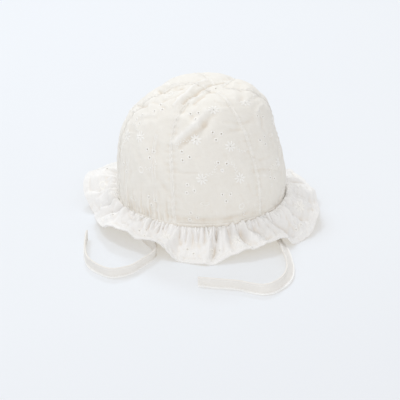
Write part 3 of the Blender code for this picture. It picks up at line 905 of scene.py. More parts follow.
@dataclass(frozen=True)
class RuffleForm:
    """The gathered brim, from under the seam band to its hem."""

    crown: CrownForm
    reach: float = 0.032
    tuck: float = 0.0012
    neck: float = 0.0500
    gap: float = 0.0003
    puff: float = 0.0045
    bow: float = 0.35
    roll: float = 0.0016
    roll_rise: float = 0.014
    roll_fade: float = 0.40
    side_roll: float = 1.6
    side_turn: float = 74.0
    side_width: float = 26.0
    hem_cloth: float = 0.0014
    hem_width: float = 0.0052
    hem_proud: float = 0.0004
    hem_fade: float = 0.0005
    hem_round_from: float = 0.97
    hem_round_fade: float = 0.03
    hem_round: float = 0.6
    cloth: float = 0.0007
    cloth_fade: float = 0.0008
    flat_radius: float = 0.094
    gathers: int = 172
    gather_height: float = 0.0034
    gather_widths: tuple[float, float] = (0.46, 0.68)
    gather_lengths: tuple[float, float, float] = (0.16, 0.40, 2.0)
    gather_fade: float = 0.55
    gather_grown: float = 0.030
    drapes: int = 54
    drape_height: float = 0.0046
    drape_widths: tuple[float, float] = (0.20, 0.38)
    drape_lengths: tuple[float, float, float] = (0.32, 0.66, 1.8)
    shift: float = 0.30
    slant: float = 3.0
    heights: tuple[float, float] = (0.50, 1.10)
    pleat_depth: float = 2.3
    pleat_lead: float = 0.10
    pleat_fade: float = 0.20
    pleat_loss: float = 0.75
    pleat_loss_from: float = 0.45
    calm_from: float = 10.0
    calm_to: float = 62.0
    calm_fade: float = 8.0
    calm_share: float = 0.60
    calm_start: float = 0.12
    calm_grown: float = 0.20
    seed: int = 7
    crumple_height: float = 0.00092
    crumple: Crumple = Crumple(31, 0.008, 0.030)
    fine_crumple: Crumple = Crumple(32, 0.0035, 0.0075)
    fine_crumple_share: float = 0.35
    crumple_grown: float = 0.2

    @property
    def width(self) -> float:
        """Flat width from the tucked edge to the hem."""
        return self.reach + self.tuck

    @property
    def girth(self) -> float:
        """Length of the flat strip that the motifs are set out on."""
        return 2.0 * math.pi * self.flat_radius

    @cached_property
    def table(self) -> Array:
        """The fine gathers, then the longer drapes.

        Returns:
            Rows of turn, half width, height, length as a share of the brim, and slant.
        """
        draw = np.random.default_rng(self.seed)
        parts = []
        for count, tall, widths, (shortest, spread, power) in (
            (self.gathers, self.gather_height, self.gather_widths, self.gather_lengths),
            (self.drapes, self.drape_height, self.drape_widths, self.drape_lengths),
        ):
            pitch = 360.0 / count
            turns = np.arange(count) * pitch + draw.uniform(-self.shift, self.shift, count) * pitch
            halves = pitch * draw.uniform(*widths, count)
            heights = tall * draw.uniform(*self.heights, count)
            lengths = shortest + spread * draw.uniform(0.0, 1.0, count) ** power
            slants = draw.uniform(-self.slant, self.slant, count)
            parts.append(np.stack([turns, halves, heights, lengths, slants], axis=1))
        return np.concatenate(parts)

    def side(self, turn: Array) -> Array:
        """Share of the right side's fuller roll at a turn."""
        return np.exp(-((around(turn - self.side_turn) / self.side_width) ** 2))

    def gathered(self, turn: Array, free: Array) -> Array:
        """Gathers, drapes and long pleats.

        Args:
            turn: Turns, in degrees.
            free: Shares of the way from the neck, 0, to the hem, 1.

        Returns:
            Their height above the plain slope, in metres.
        """
        height = np.zeros_like(turn)
        grown = ease(free / self.gather_grown)
        for middle, half, tall, length, slant in self.table:
            away = around(turn - middle - slant * free)
            near = np.abs(away) < half
            dome = np.cos(np.clip(away[near] / half, -1.0, 1.0) * math.pi / 2.0)
            faded = ease((length - free[near]) / (self.gather_fade * length))
            height[near] = np.maximum(height[near], tall * dome * grown[near] * faded)
        off = around(turn)
        calm = ease((off - self.calm_from) / self.calm_fade) * ease((self.calm_to - off) / self.calm_fade)
        height *= 1.0 - self.calm_share * calm * ease((free - self.calm_start) / self.calm_grown)
        for pleat in PLEATS:
            share = np.clip((free - pleat.start) / (pleat.end - pleat.start), 0.0, 1.0)
            away = around(turn - pleat.turn - (pleat.hem_turn - pleat.turn) * share)
            loss = self.pleat_loss * ease((free - self.pleat_loss_from) / (1.0 - self.pleat_loss_from))
            ends = ease((free - pleat.start + self.pleat_lead) / self.pleat_fade) * (1.0 - loss)
            height += self.pleat_depth * pleat.push * ends * np.exp(-((away / pleat.width) ** 2))
        return height

    def hem_fold(self, share: Array, fade: float) -> Array:
        """How far the doubled hem has begun at a share of the width, growing over a distance."""
        return ease((share * self.width - (self.width - self.hem_width)) / fade)

    def point(self, turn: Array, share: Array) -> Array:
        """The ruffle's upper side.

        Args:
            turn: Turns, in degrees.
            share: Shares of the width, 0 at the tucked edge and 1 at the hem.

        Returns:
            Points of the cloth.
        """
        out = outward(turn)
        seam = self.crown.smooth_point(turn, np.zeros_like(turn)) - out * self.tuck - UP * self.gap
        reach = self.reach * round_value(WAVES, "reach", turn) + self.tuck
        high = np.maximum(round_value(WAVES, "height", turn), 0.0)
        hem_height = self.crown.base * high + self.hem_cloth
        puff = self.puff * round_value(WAVES, "puff", turn)
        free = np.maximum(share - self.neck, 0.0) / (1.0 - self.neck)
        points = seam + out * (reach * share)[:, None]
        drop = hem_height - seam[:, 2]
        bowed = (1.0 - self.bow) * free + self.bow * ease(free)
        points[:, 2] += drop * bowed + puff * np.sin(math.pi * free)
        rolled = self.roll * (1.0 + self.side_roll * self.side(turn))
        points[:, 2] += rolled * ease(free / self.roll_rise) * (1.0 - ease(free / self.roll_fade))
        slope = unit(np.stack([-drop, reach], axis=1))
        lift = out * slope[:, :1] + UP * slope[:, 1:]
        loose = ease(free / self.crumple_grown)
        uneven = self.crumple_height * self.crumple.at(points) * loose
        fine_height = self.fine_crumple_share * self.crumple_height
        uneven += fine_height * self.fine_crumple.at(points) * loose
        points += lift * (self.gathered(turn, free) + uneven)[:, None]
        fold = self.hem_fold(share, self.hem_fade)
        rounded = ease((share - self.hem_round_from) / self.hem_round_fade)
        points[:, 2] += self.hem_proud * fold * (1.0 - fold * rounded * self.hem_round)
        return points

    def cloth_at(self, share: Array) -> Array:
        """Thickness of the cloth, doubled at the hem."""
        return self.cloth + (self.hem_cloth - self.cloth) * self.hem_fold(share, self.cloth_fade)

    def laid(self, flat: Array, height: Array) -> Array:
        """Lay flat stitching on the ruffle.

        Args:
            flat: Points by distance round the ruffle and out towards the hem.
            height: Their heights above the cloth.

        Returns:
            Points in space.
        """
        turn = np.degrees(flat[:, 0] / self.flat_radius)
        share = flat[:, 1] / self.width
        up = -surface_normal(self.point, turn, share, turn_step=0.3, share_step=0.01, top=1.0)
        made = self.point(turn, share)
        made[:, 2] = np.maximum(made[:, 2], self.cloth_at(share))
        return made + up * height[:, None]


@dataclass(frozen=True)
class StrapForm:
    """A flat doubled strap that stands on its edge or leans over along its line."""

    points: Sequence[TiePoint]
    width: float = 0.0095
    edge_cloth: float = 0.0018
    lower_cloth: float = 0.0024
    middle_cloth: float = 0.0009
    edge: float = 0.0014
    edge_fade: float = 0.5
    rim_round: float = 0.0006
    rim_thin: float = 0.25
    end_fold: float = 0.0050
    end_fade: float = 0.0006
    end_thick: float = 0.6
    wobble: float = 1.4
    wobble_length: float = 0.0061
    small_wobble: float = 0.7
    small_wobble_length: float = 0.0037
    wobble_from: float = 0.03
    wobble_fade: float = 0.02
    steps: int = 14
    seed: int = 3

    @cached_property
    def run(self) -> Array:
        """The strap's course, as a smooth curve through its points.

        Returns:
            Dense rows of x, y, lift and lean.
        """
        rows = np.array(self.points, dtype=float)
        last = len(rows) - 1
        share = np.arange(self.steps)[:, None] / self.steps
        square, cube = share ** 2, share ** 3
        made = []
        for index in range(last):
            before, start, end, after = (
                rows[min(max(index + step, 0), last)] for step in (-1, 0, 1, 2)
            )
            made.append(0.5 * (
                2.0 * start
                + (end - before) * share
                + (2.0 * before - 5.0 * start + 4.0 * end - after) * square
                + (3.0 * start - before - 3.0 * end + after) * cube
            ))
        run = np.concatenate([*made, rows[-1:]])
        steps = np.hypot(*np.diff(run[:, :2], axis=0).T)
        along = np.concatenate([[0.0], np.cumsum(steps)])
        wobble = np.sin(along / self.wobble_length + self.seed)
        wobble += self.small_wobble * np.sin(along / self.small_wobble_length + 2.0 * self.seed)
        run[:, 3] += self.wobble * wobble * ease((along - self.wobble_from) / self.wobble_fade)
        return run

    @cached_property
    def frames(self) -> tuple[Array, Array, Array, Array]:
        """The strap's places and the ways it faces.

        Returns:
            Distance along it, and its middles, upward and facing directions there.
        """
        run = self.run
        along = unit(np.gradient(np.pad(run[:, :2], ((0, 0), (0, 1))), axis=0))
        side = np.stack([-along[:, 1], along[:, 0], np.zeros(len(run))], axis=1)
        tilt = np.radians(run[:, 3])[:, None]
        up = UP * np.cos(tilt) + side * np.sin(tilt)
        facing = unit(np.cross(along, up))
        low = np.abs(up[:, 2]) * self.width / 2.0 + np.abs(facing[:, 2]) * self.lower_cloth / 2.0
        middles = np.column_stack([run[:, :2], np.maximum(run[:, 2], 0.0) + low])
        gone = np.concatenate([[0.0], np.cumsum(np.linalg.norm(np.diff(middles, axis=0), axis=1))])
        return gone, middles, up, facing

    @property
    def length(self) -> float:
        """Length of the strap's middle line."""
        return float(self.frames[0][-1])

    def half_cloth(self, along: Array, high: Array) -> Array:
        """The strap's thickness, with its rolled edges and folded end.

        Args:
            along: Distances along the strap.
            high: Heights from its middle line.

        Returns:
            Half the thickness at each place.
        """
        rim = self.width / 2.0 - np.abs(high)
        welt = ease((self.edge - rim) / (self.edge_fade * self.edge) + 0.5)
        rounded = np.sqrt(np.clip(rim / self.rim_round, 0.0, 1.0))
        folded = ease((along - (self.length - self.end_fold)) / self.end_fade)
        thick = np.where(high < 0.0, self.lower_cloth, self.edge_cloth)
        full = np.maximum(welt, self.end_thick * folded)
        half = self.middle_cloth + (thick - self.middle_cloth) * full
        return 0.5 * half * (self.rim_thin + (1.0 - self.rim_thin) * rounded)

    def point(self, along: Array, high: Array, out: Array) -> Array:
        """The strap in space.

        Args:
            along: Distances along the strap.
            high: Heights from its middle line.
            out: Distances out of its plane.

        Returns:
            Points in space.
        """
        gone, *columns = self.frames
        middle, up, facing = (
            np.stack([np.interp(along, gone, column[:, axis]) for axis in range(3)], axis=1)
            for column in columns
        )
        return middle + up * high[:, None] + facing * out[:, None]

    def laid(self, side: float, flat: Array, height: Array) -> Array:
        """Lay flat stitching on one face of the strap.

        Args:
            side: 1 for the face it looks to, or -1 for the other.
            flat: Points along the strap and up from its middle line.
            height: Their heights above the cloth.

        Returns:
            Points in space.
        """
        out = side * (self.half_cloth(flat[:, 0], flat[:, 1]) + height)
        return self.point(flat[:, 0], flat[:, 1], out)


@dataclass
class FlatMesh:
    """A small form on flat cloth, with thread coordinates."""

    points: Array
    quads: Array
    thread: Array

    def laid(self, place: Surface) -> Array:
        """The form's points laid on a surface."""
        return place(self.points[:, :2], self.points[:, 2])

    @staticmethod
    def joined(parts: Sequence["FlatMesh"]) -> "FlatMesh":
        """Join several forms.

        Args:
            parts: The forms.

        Returns:
            All of them as one.
        """
        starts = np.cumsum([0, *[len(part.points) for part in parts[:-1]]])
        return FlatMesh(
            np.concatenate([part.points for part in parts]),
            np.concatenate([part.quads + start for part, start in zip(parts, starts)]),
            np.concatenate([part.thread for part in parts]),
        )

    def scattered(self, places: Array) -> "FlatMesh":
        """Copies of the form.

        Args:
            places: Rows of across, along, and angle in radians.

        Returns:
            All the copies as one form.
        """
        count = len(places)
        turned = np.stack([np.cos(places[:, 2]), np.sin(places[:, 2])], axis=1)
        x = turned[:, :1] * self.points[:, 0] - turned[:, 1:] * self.points[:, 1] + places[:, :1]
        y = turned[:, 1:] * self.points[:, 0] + turned[:, :1] * self.points[:, 1] + places[:, 1:2]
        z = np.tile(self.points[:, 2], (count, 1))
        points = np.stack([x, y, z], axis=2).reshape(-1, 3)
        quads = (self.quads[None] + np.arange(count)[:, None, None] * len(self.points)).reshape(-1, 4)
        return FlatMesh(points, quads, np.tile(self.thread, (count, 1)))


def tube_quads(rings: int, sides: int, closed: bool) -> Array:
    """Faces of a tube.

    Args:
        rings: Rings of points along it.
        sides: Points in each ring.
        closed: Whether the last ring joins the first.

    Returns:
        Its quads, as point numbers.
    """
    here = np.arange(rings if closed else rings - 1)[:, None]
    side = np.arange(sides)[None, :]
    after, beside = (here + 1) % rings, (side + 1) % sides
    quads = np.stack([
        here * sides + side, after * sides + side, after * sides + beside, here * sides + beside
    ], axis=2)
    return quads.reshape(-1, 4)


def padded_bar(length: float, width: float, height: float, rings: int, sides: int, plump: float) -> FlatMesh:
    """A padded bar of thread lying along the first direction, its ends sunk into the cloth.

    Args:
        length: Whole length.
        width: Whole width.
        height: Height above the cloth.
        rings: Rings along it.
        sides: Sides of each ring.
        plump: Power of its outline, 2 for an ellipse and more for a fuller bar.

    Returns:
        The bar as a flat form.
    """
    end_reach, raised, sunk = 0.97, 0.35, 0.0001
    share = np.linspace(-1.0, 1.0, rings)
    full = (1.0 - np.abs(share * end_reach) ** plump) ** (1.0 / plump)
    angle = np.arange(sides) * 2.0 * math.pi / sides
    x = np.repeat(share * length / 2.0, sides)
    y = (full[:, None] * np.cos(angle) * width / 2.0).ravel()
    rounded = raised + (1.0 - raised) * np.sin(angle)
    z = (full[:, None] * rounded * height - (1.0 - full[:, None]) * sunk).ravel()
    caps = [[0, 1, 2, 3], [0, 3, 4, 5]] if sides == 6 else [[0, 1, 2, 3], [0, 3, 4, 7], [4, 5, 6, 7]]
    start = np.array(caps)
    end = (rings - 1) * sides + start[:, ::-1]
    quads = np.concatenate([tube_quads(rings, sides, False), start, end])
    return FlatMesh(np.column_stack([x, y, z]), quads, np.column_stack([x, y]))


def thread_ring(
    radius: float, thick: float, height: float, flatten: float = 1.0, rings: int = 20
) -> FlatMesh:
    """A satin-stitched ring round an eyelet.

    Args:
        radius: Radius to the middle of the stitching.
        thick: Width of the stitching.
        height: Height above the cloth.
        flatten: Height over width of the ring's outline.
        rings: Sections round it.

    Returns:
        The ring as a flat form.
    """
    sides, raised = 6, 0.25
    turn = np.repeat(np.linspace(0.0, 2.0 * math.pi, rings + 1), sides)
    angle = np.tile(np.arange(sides) * 2.0 * math.pi / sides, rings + 1)
    away = radius + np.cos(angle) * thick / 2.0
    z = (raised + (1.0 - raised) * np.sin(angle)) * height
    points = np.column_stack([away * np.cos(turn), away * np.sin(turn) * flatten, z])
    thread = np.column_stack([turn * radius, away])
    return FlatMesh(points, tube_quads(rings + 1, sides, False), thread)


def stitch_places(line: Array, pitch: float, shift: float = 0.0) -> Array:
    """Even places for stitches along a flat line.

    Args:
        line: Flat points of the line.
        pitch: Distance from one stitch to the next.
        shift: Distance before the first stitch's middle.

    Returns:
        Rows of across, along, and angle in radians.
    """
    look_ahead = 0.1
    steps = np.hypot(*np.diff(line, axis=0).T)
    gone = np.concatenate([[0.0], np.cumsum(steps)])
    at = np.arange(pitch / 2.0 + shift, gone[-1] - pitch / 2.0, pitch)
    x, y = np.interp(at, gone, line[:, 0]), np.interp(at, gone, line[:, 1])
    ahead = at + pitch * look_ahead
    dx, dy = np.interp(ahead, gone, line[:, 0]) - x, np.interp(ahead, gone, line[:, 1]) - y
    return np.column_stack([x, y, np.arctan2(dy, dx)])


# Distance from a tie's middle line where its painted edge highlight and painted edge shade begin.
TIE_PAINTED_EDGES_FROM = 0.0038
STITCH_PITCH = 0.0027
STITCH = padded_bar(length=0.0023, width=0.00060, height=0.00030, rings=5, sides=6, plump=2.6)
PETAL = padded_bar(length=0.0038, width=0.0018, height=0.00048, rings=7, sides=8, plump=2.0)
LEAF = padded_bar(length=0.0022, width=0.0009, height=0.00036, rings=5, sides=6, plump=2.0)
EYELET_RADIUS = 0.00064
EYELET_RING = thread_ring(radius=EYELET_RADIUS + 0.00052, thick=0.00108, height=0.00038)
DAISY_RADIUS = 0.00045
DAISY_RING = thread_ring(radius=DAISY_RADIUS + 0.00040, thick=0.00080, height=0.00038)
PLAIN_RING = thread_ring(radius=0.0024, thick=0.00100, height=0.00036, rings=28)
OVAL_RING = thread_ring(radius=0.0036, thick=0.00100, height=0.00036, flatten=0.42, rings=32)
TRIO_SPREAD = 0.0041
PETALS = 8
PETAL_AT = 0.0031
SPRIG_LEAVES = 11
SPRIG_START = 0.0056
SPRIG_STEP = 0.00145
SPRIG_BEND = 0.16
SPRIG_SPREAD = 0.00062
SPRIG_BACK = 0.8
LEAF_ANGLE = 0.6
EYELET_ROOM = 0.0034
PETAL_ROOM = 0.0038
LEAF_ROOM = 0.0030
RING_ROOM = 0.0064


class Needlework(NamedTuple):
    """Motifs of one piece of cloth: the holes cut (across, along, radius) and the thread laid on it."""

    holes: Array
    thread: FlatMesh


def embroider(places: Sequence[tuple[Stitchery, float, float, float]], clear: Reach) -> Needlework:
    """Set out a cloth's motifs.

    Args:
        places: Kind, across, along and spin in degrees of each motif.
        clear: For flat points, how far each lies inside the cloth's edge.

    Returns:
        The holes and the embroidery, leaving out what would run over the edge.
    """
    holes, parts = [], []
    for kind, across, along, spin in places:
        start = math.radians(spin)
        centre = np.array([[across, along]])
        if kind is Stitchery.TRIO:
            for leaf in range(3):
                angle = start + leaf * 2.0 * math.pi / 3.0
                x, y = across + TRIO_SPREAD * math.cos(angle), along + TRIO_SPREAD * math.sin(angle)
                if clear(np.array([[x, y]]))[0] > EYELET_ROOM:
                    holes.append([x, y, EYELET_RADIUS])
                    parts.append(EYELET_RING.scattered(np.array([[x, y, angle]])))
        elif kind is Stitchery.DAISY:
            angles = start + np.arange(PETALS) * 2.0 * math.pi / PETALS
            middles = np.column_stack([across + PETAL_AT * np.cos(angles), along + PETAL_AT * np.sin(angles)])
            kept = clear(middles) > PETAL_ROOM
            if clear(centre)[0] > EYELET_ROOM:
                holes.append([across, along, DAISY_RADIUS])
                parts.append(DAISY_RING.scattered(np.array([[across, along, 0.0]])))
            if kept.any():
                parts.append(PETAL.scattered(np.column_stack([middles, angles])[kept]))
        elif kind is Stitchery.SPRIG:
            leaf = np.arange(SPRIG_LEAVES)
            heading = start - SPRIG_BACK + SPRIG_BEND * leaf
            side = (-1.0) ** leaf
            stem = np.column_stack([np.cos(heading), np.sin(heading)]) * SPRIG_STEP
            stem[0] = SPRIG_START * np.array([math.cos(start), math.sin(start)])
            beside = np.column_stack([-np.sin(heading), np.cos(heading)]) * (side * SPRIG_SPREAD)[:, None]
            middles = centre[0] + np.cumsum(stem, axis=0) + beside
            kept = clear(middles) > LEAF_ROOM
            if kept.any():
                leaves = np.column_stack([middles, heading + LEAF_ANGLE * side])
                parts.append(LEAF.scattered(leaves[kept]))
        elif clear(centre)[0] > RING_ROOM:
            form = PLAIN_RING if kind is Stitchery.RING else OVAL_RING
            parts.append(form.scattered(np.array([[across, along, start]])))
    return Needlework(np.array(holes).reshape(-1, 3), FlatMesh.joined(parts))


def grid_rows(low: float, high: float, pitch: float, half: Reach) -> list[Array]:
    """Rows of flat points that fill a cloth from side to side.

    Args:
        low: First row's distance along.
        high: Last row's distance along.
        pitch: Wanted distance between points.
        half: Half the cloth's width at a distance along.

    Returns:
        One array of points for each row, from its left edge to its right.
    """
    rows = []
    for along in np.linspace(low, high, max(3, round((high - low) / pitch) + 1)):
        reach = float(half(np.array([along]))[0])
        count = max(1, round(2.0 * reach / pitch))
        x = np.linspace(-reach, reach, count + 1)
        rows.append(np.column_stack([x, np.full(count + 1, along)]))
    return rows


def cut_cloth(rows: Sequence[Array], holes: Array, pitch: float, half: Reach) -> tuple[Array, Array]:
    """Triangles of a flat cloth with round holes.

    Args:
        rows: Rows of points, from side to side.
        holes: Rows of across, along and radius.
        pitch: Distance between the points.
        half: Half the cloth's width at a distance along.

    Returns:
        The flat points, and the triangles between them.
    """
    sides, hole_margin, pitch_margin, same_point = 12, 0.0006, 0.45, 1e-8
    right, left = [row[-1] for row in rows[1:-1]], [row[0] for row in rows[-2:0:-1]]
    corners = [*rows[0], *right, *rows[-1][::-1], *left]
    points = [np.array(corners)]
    loops = [np.arange(len(corners))]
    inner = np.concatenate([row[1:-1] for row in rows[1:-1]])
    angles = np.arange(sides) * 2.0 * math.pi / sides
    ring = np.column_stack([np.cos(angles), np.sin(angles)])
    halos = []
    for across, along, radius in holes:
        away = np.hypot(inner[:, 0] - across, inner[:, 1] - along)
        inner = inner[away > radius + pitch_margin * pitch + hole_margin]
        loops.append(sum(len(part) for part in points) + np.arange(sides))
        points.append(np.array([across, along]) + radius * ring)
        halos.append(np.array([across, along]) + (radius + hole_margin) * ring)
    flat = np.concatenate([*points, *halos, inner])
    edges = [(int(a), int(b)) for loop in loops for a, b in zip(loop, np.roll(loop, -1))]
    made = delaunay_2d_cdt([Vector(point) for point in flat], edges, [], 0, same_point, True)
    if len(made[0]) != len(flat):
        raise ValueError("holes of the cloth run into each other or over its edge")
    triangles = np.array([[made[3][index][0] for index in face] for face in made[2]])
    middles = flat[triangles].mean(axis=1)
    kept = np.abs(middles[:, 0]) < half(middles[:, 1])
    for loop in loops[1:]:
        kept &= ~((triangles >= loop[0]) & (triangles < loop[0] + sides)).all(axis=1)
    return flat, triangles[kept]


def vertex_normals(points: Array, triangles: Array) -> Array:
    """Outward directions of a mesh.

    Args:
        points: Its points.
        triangles: Its faces, as point numbers.

    Returns:
        A unit vector at each point.
    """
    corners = points[triangles]
    face = np.cross(corners[:, 1] - corners[:, 0], corners[:, 2] - corners[:, 0])
    total = np.zeros_like(points)
    for corner in range(3):
        np.add.at(total, triangles[:, corner], face)
    return unit(total)


def fold_depth(points: Array, faces: Array, spread: int, full: float) -> Array:
    """How deep each point lies in a fold, as a share of a full fold's depth.

    Args:
        points: Points of one side of the cloth.
        faces: Its faces, all with the same number of corners.
        spread: Rounds of smoothing that make the cloth the folds are measured from.
        full: Depth of a full fold.

    Returns:
        From -1 on a ridge to 1 in a fold.
    """
    count = len(points)
    ahead = np.roll(faces, 1, axis=1)
    starts, ends = np.concatenate([faces, ahead]).ravel(), np.concatenate([ahead, faces]).ravel()
    near = np.maximum(np.bincount(starts, minlength=count), 1)[:, None]
    smooth = points
    for _ in range(spread):
        total = np.stack([np.bincount(starts, smooth[ends, axis], count) for axis in range(3)], axis=1)
        smooth = 0.5 * smooth + 0.5 * total / near
    below = ((smooth - points) * vertex_normals(points, faces)).sum(axis=1)
    return np.clip((below - np.median(below)) / full, -1.0, 1.0)


def thick_shell(points: Array, triangles: Array, cloth: Array) -> tuple[Array, list[list[int]]]:
    """A closed shell of cloth.

    Args:
        points: Points of its outer side.
        triangles: Triangles of its outer side.
        cloth: Thickness at each point.

    Returns:
        All points, outer side first, and all faces.
    """
    count = len(points)
    inner = points - vertex_normals(points, triangles) * cloth[:, None]
    sides = np.concatenate([triangles[:, [0, 1]], triangles[:, [1, 2]], triangles[:, [2, 0]]])
    ahead = sides[:, 0].astype(np.int64) * count + sides[:, 1]
    back = sides[:, 1].astype(np.int64) * count + sides[:, 0]
    rim = sides[~np.isin(ahead, back)]
    walls = np.column_stack([rim[:, 1], rim[:, 0], rim[:, 0] + count, rim[:, 1] + count])
    faces = triangles.tolist() + (triangles[:, ::-1] + count).tolist() + walls.tolist()
    return np.concatenate([points, inner]), faces


@dataclass(frozen=True)
class Wire:
    """A number that runs between shader nodes, with ordinary arithmetic."""

    tree: bpy.types.NodeTree
    socket: Socket

    def _made(self, operation: str, *values: "Wire | float") -> "Wire":
        """Add one Math node.

        Args:
            operation: The node's operation.
            *values: Wires or plain numbers for its sockets.

        Returns:
            The node's result.
        """
        node = self.tree.nodes.new("ShaderNodeMath")
        node.operation = operation
        for socket, value in zip(node.inputs, values):
            if isinstance(value, Wire):
                self.tree.links.new(value.socket, socket)
            else:
                socket.default_value = value
        return Wire(self.tree, node.outputs[0])

    def __add__(self, other: "Wire | float") -> "Wire":
        """Sum."""
        return self._made("ADD", self, other)

    __radd__ = __add__

    def __sub__(self, other: "Wire | float") -> "Wire":
        """Difference."""
        return self._made("SUBTRACT", self, other)

    def __rsub__(self, other: float) -> "Wire":
        """Difference from a plain number."""
        return self._made("SUBTRACT", other, self)

    def __mul__(self, other: "Wire | float") -> "Wire":
        """Product."""
        return self._made("MULTIPLY", self, other)

    __rmul__ = __mul__

    def __truediv__(self, other: "Wire | float") -> "Wire":
        """Quotient."""
        return self._made("DIVIDE", self, other)

    def __rtruediv__(self, other: float) -> "Wire":
        """Quotient of a plain number."""
        return self._made("DIVIDE", other, self)

    def sine(self) -> "Wire":
        """Sine."""
        return self._made("SINE", self)

    def held(self) -> "Wire":
        """The number kept between 0 and 1."""
        return self._made("MINIMUM", self._made("MAXIMUM", self, 0.0), 1.0)


@dataclass(frozen=True)
class Bench:
    """A material's node tree and the few ways its nodes are made."""

    material: Material

    @classmethod
    def named(cls, name: str) -> "Bench":
        """Start a new, empty material.

        Args:
            name: Its name.

        Returns:
            The bench that it is made on.
        """
        material = bpy.data.materials.new(name)
        material.use_nodes = True
        material.node_tree.nodes.clear()
        return cls(material)

    @property
    def tree(self) -> bpy.types.NodeTree:
        """The material's node tree."""
        return self.material.node_tree

    def node(self, kind: str, settings: dict | None = None, **values: object) -> bpy.types.Node:
        """Make any node.

        Args:
            kind: The node's type.
            settings: Attributes, set before the sockets.
            **values: Values, wires or sockets by socket name, with _ for a space.

        Returns:
            The node.
        """
        node = self.tree.nodes.new(kind)
        for name, value in (settings or {}).items():
            setattr(node, name, value)
        for name, value in values.items():
            socket = node.inputs[name.replace("_", " ")]
            if isinstance(value, Wire):
                value = value.socket
            if isinstance(value, Socket):
                self.tree.links.new(value, socket)
            else:
                socket.default_value = value
        return node

    def wire(self, socket: Socket) -> Wire:
        """A socket as a number that can be reckoned with."""
        return Wire(self.tree, socket)

    def mapped(self, name: str) -> tuple[Wire, Wire]:
        """Read one of the cloth's maps.

        Args:
            name: The map's name.

        Returns:
            Its two numbers.
        """
        placed = self.node("ShaderNodeUVMap", {"uv_map": name})
        parted = self.node("ShaderNodeSeparateXYZ", Vector=placed.outputs["UV"])
        return self.wire(parted.outputs["X"]), self.wire(parted.outputs["Y"])

    def cloth_map(self) -> tuple[Wire, Wire]:
        """Distances across and along the flat cloth, in metres."""
        return self.mapped(CLOTH_MAP)

    def fold(self) -> Wire:
        """How deep the cloth lies in a fold, from -1 on a ridge to 1; it sets the painted fold shade and
        ridge highlight.
        """
        return self.mapped(FOLD_MAP)[0]

    def noise(self, size: float, detail: float, roughness: float = 0.5) -> Wire:
        """Cloudy pattern fixed to the piece.

        Args:
            size: Size of its clouds, in metres.
            detail: Rounds of finer clouds on them.
            roughness: How strong the finer clouds are.

        Returns:
            A number from about 0 to 1.
        """
        where = self.node("ShaderNodeTexCoord")
        made = self.node(
            "ShaderNodeTexNoise", Vector=where.outputs["Object"], Scale=1.0 / size, Detail=detail,
            Roughness=roughness,
        )
        return self.wire(made.outputs["Fac"])

    def blend(self, share: Wire, *ends: Colour | Socket) -> Socket:
        """Blend two colours.

        Args:
            share: Share of the second.
            *ends: The two colours, each plain or a socket.

        Returns:
            The colour between them.
        """
        node = self.node("ShaderNodeMix", {"data_type": "RGBA"})
        self.tree.links.new(share.socket, node.inputs[0])
        for socket, end in zip((node.inputs[6], node.inputs[7]), ends):
            if isinstance(end, Socket):
                self.tree.links.new(end, socket)
            else:
                socket.default_value = (*end, 1.0)
        return node.outputs[2]

    def finish(
        self, colour: Socket, roughness: Wire | float, height: Wire, **constants: object
    ) -> Material:
        """Close the material with a Principled shader and one bump.

        Args:
            colour: Socket of the base colour.
            roughness: Wire or number.
            height: Relief in metres.
            **constants: Other values of the shader, by socket name.

        Returns:
            The finished material.
        """
        relief = self.node("ShaderNodeBump", Height=height, Distance=1.0, Strength=1.0)
        shader = self.node(
            "ShaderNodeBsdfPrincipled", Base_Color=colour, Roughness=roughness,
            Normal=relief.outputs["Normal"], **constants,
        )
        self.node("ShaderNodeOutputMaterial", Surface=shader.outputs[0])
        return self.material


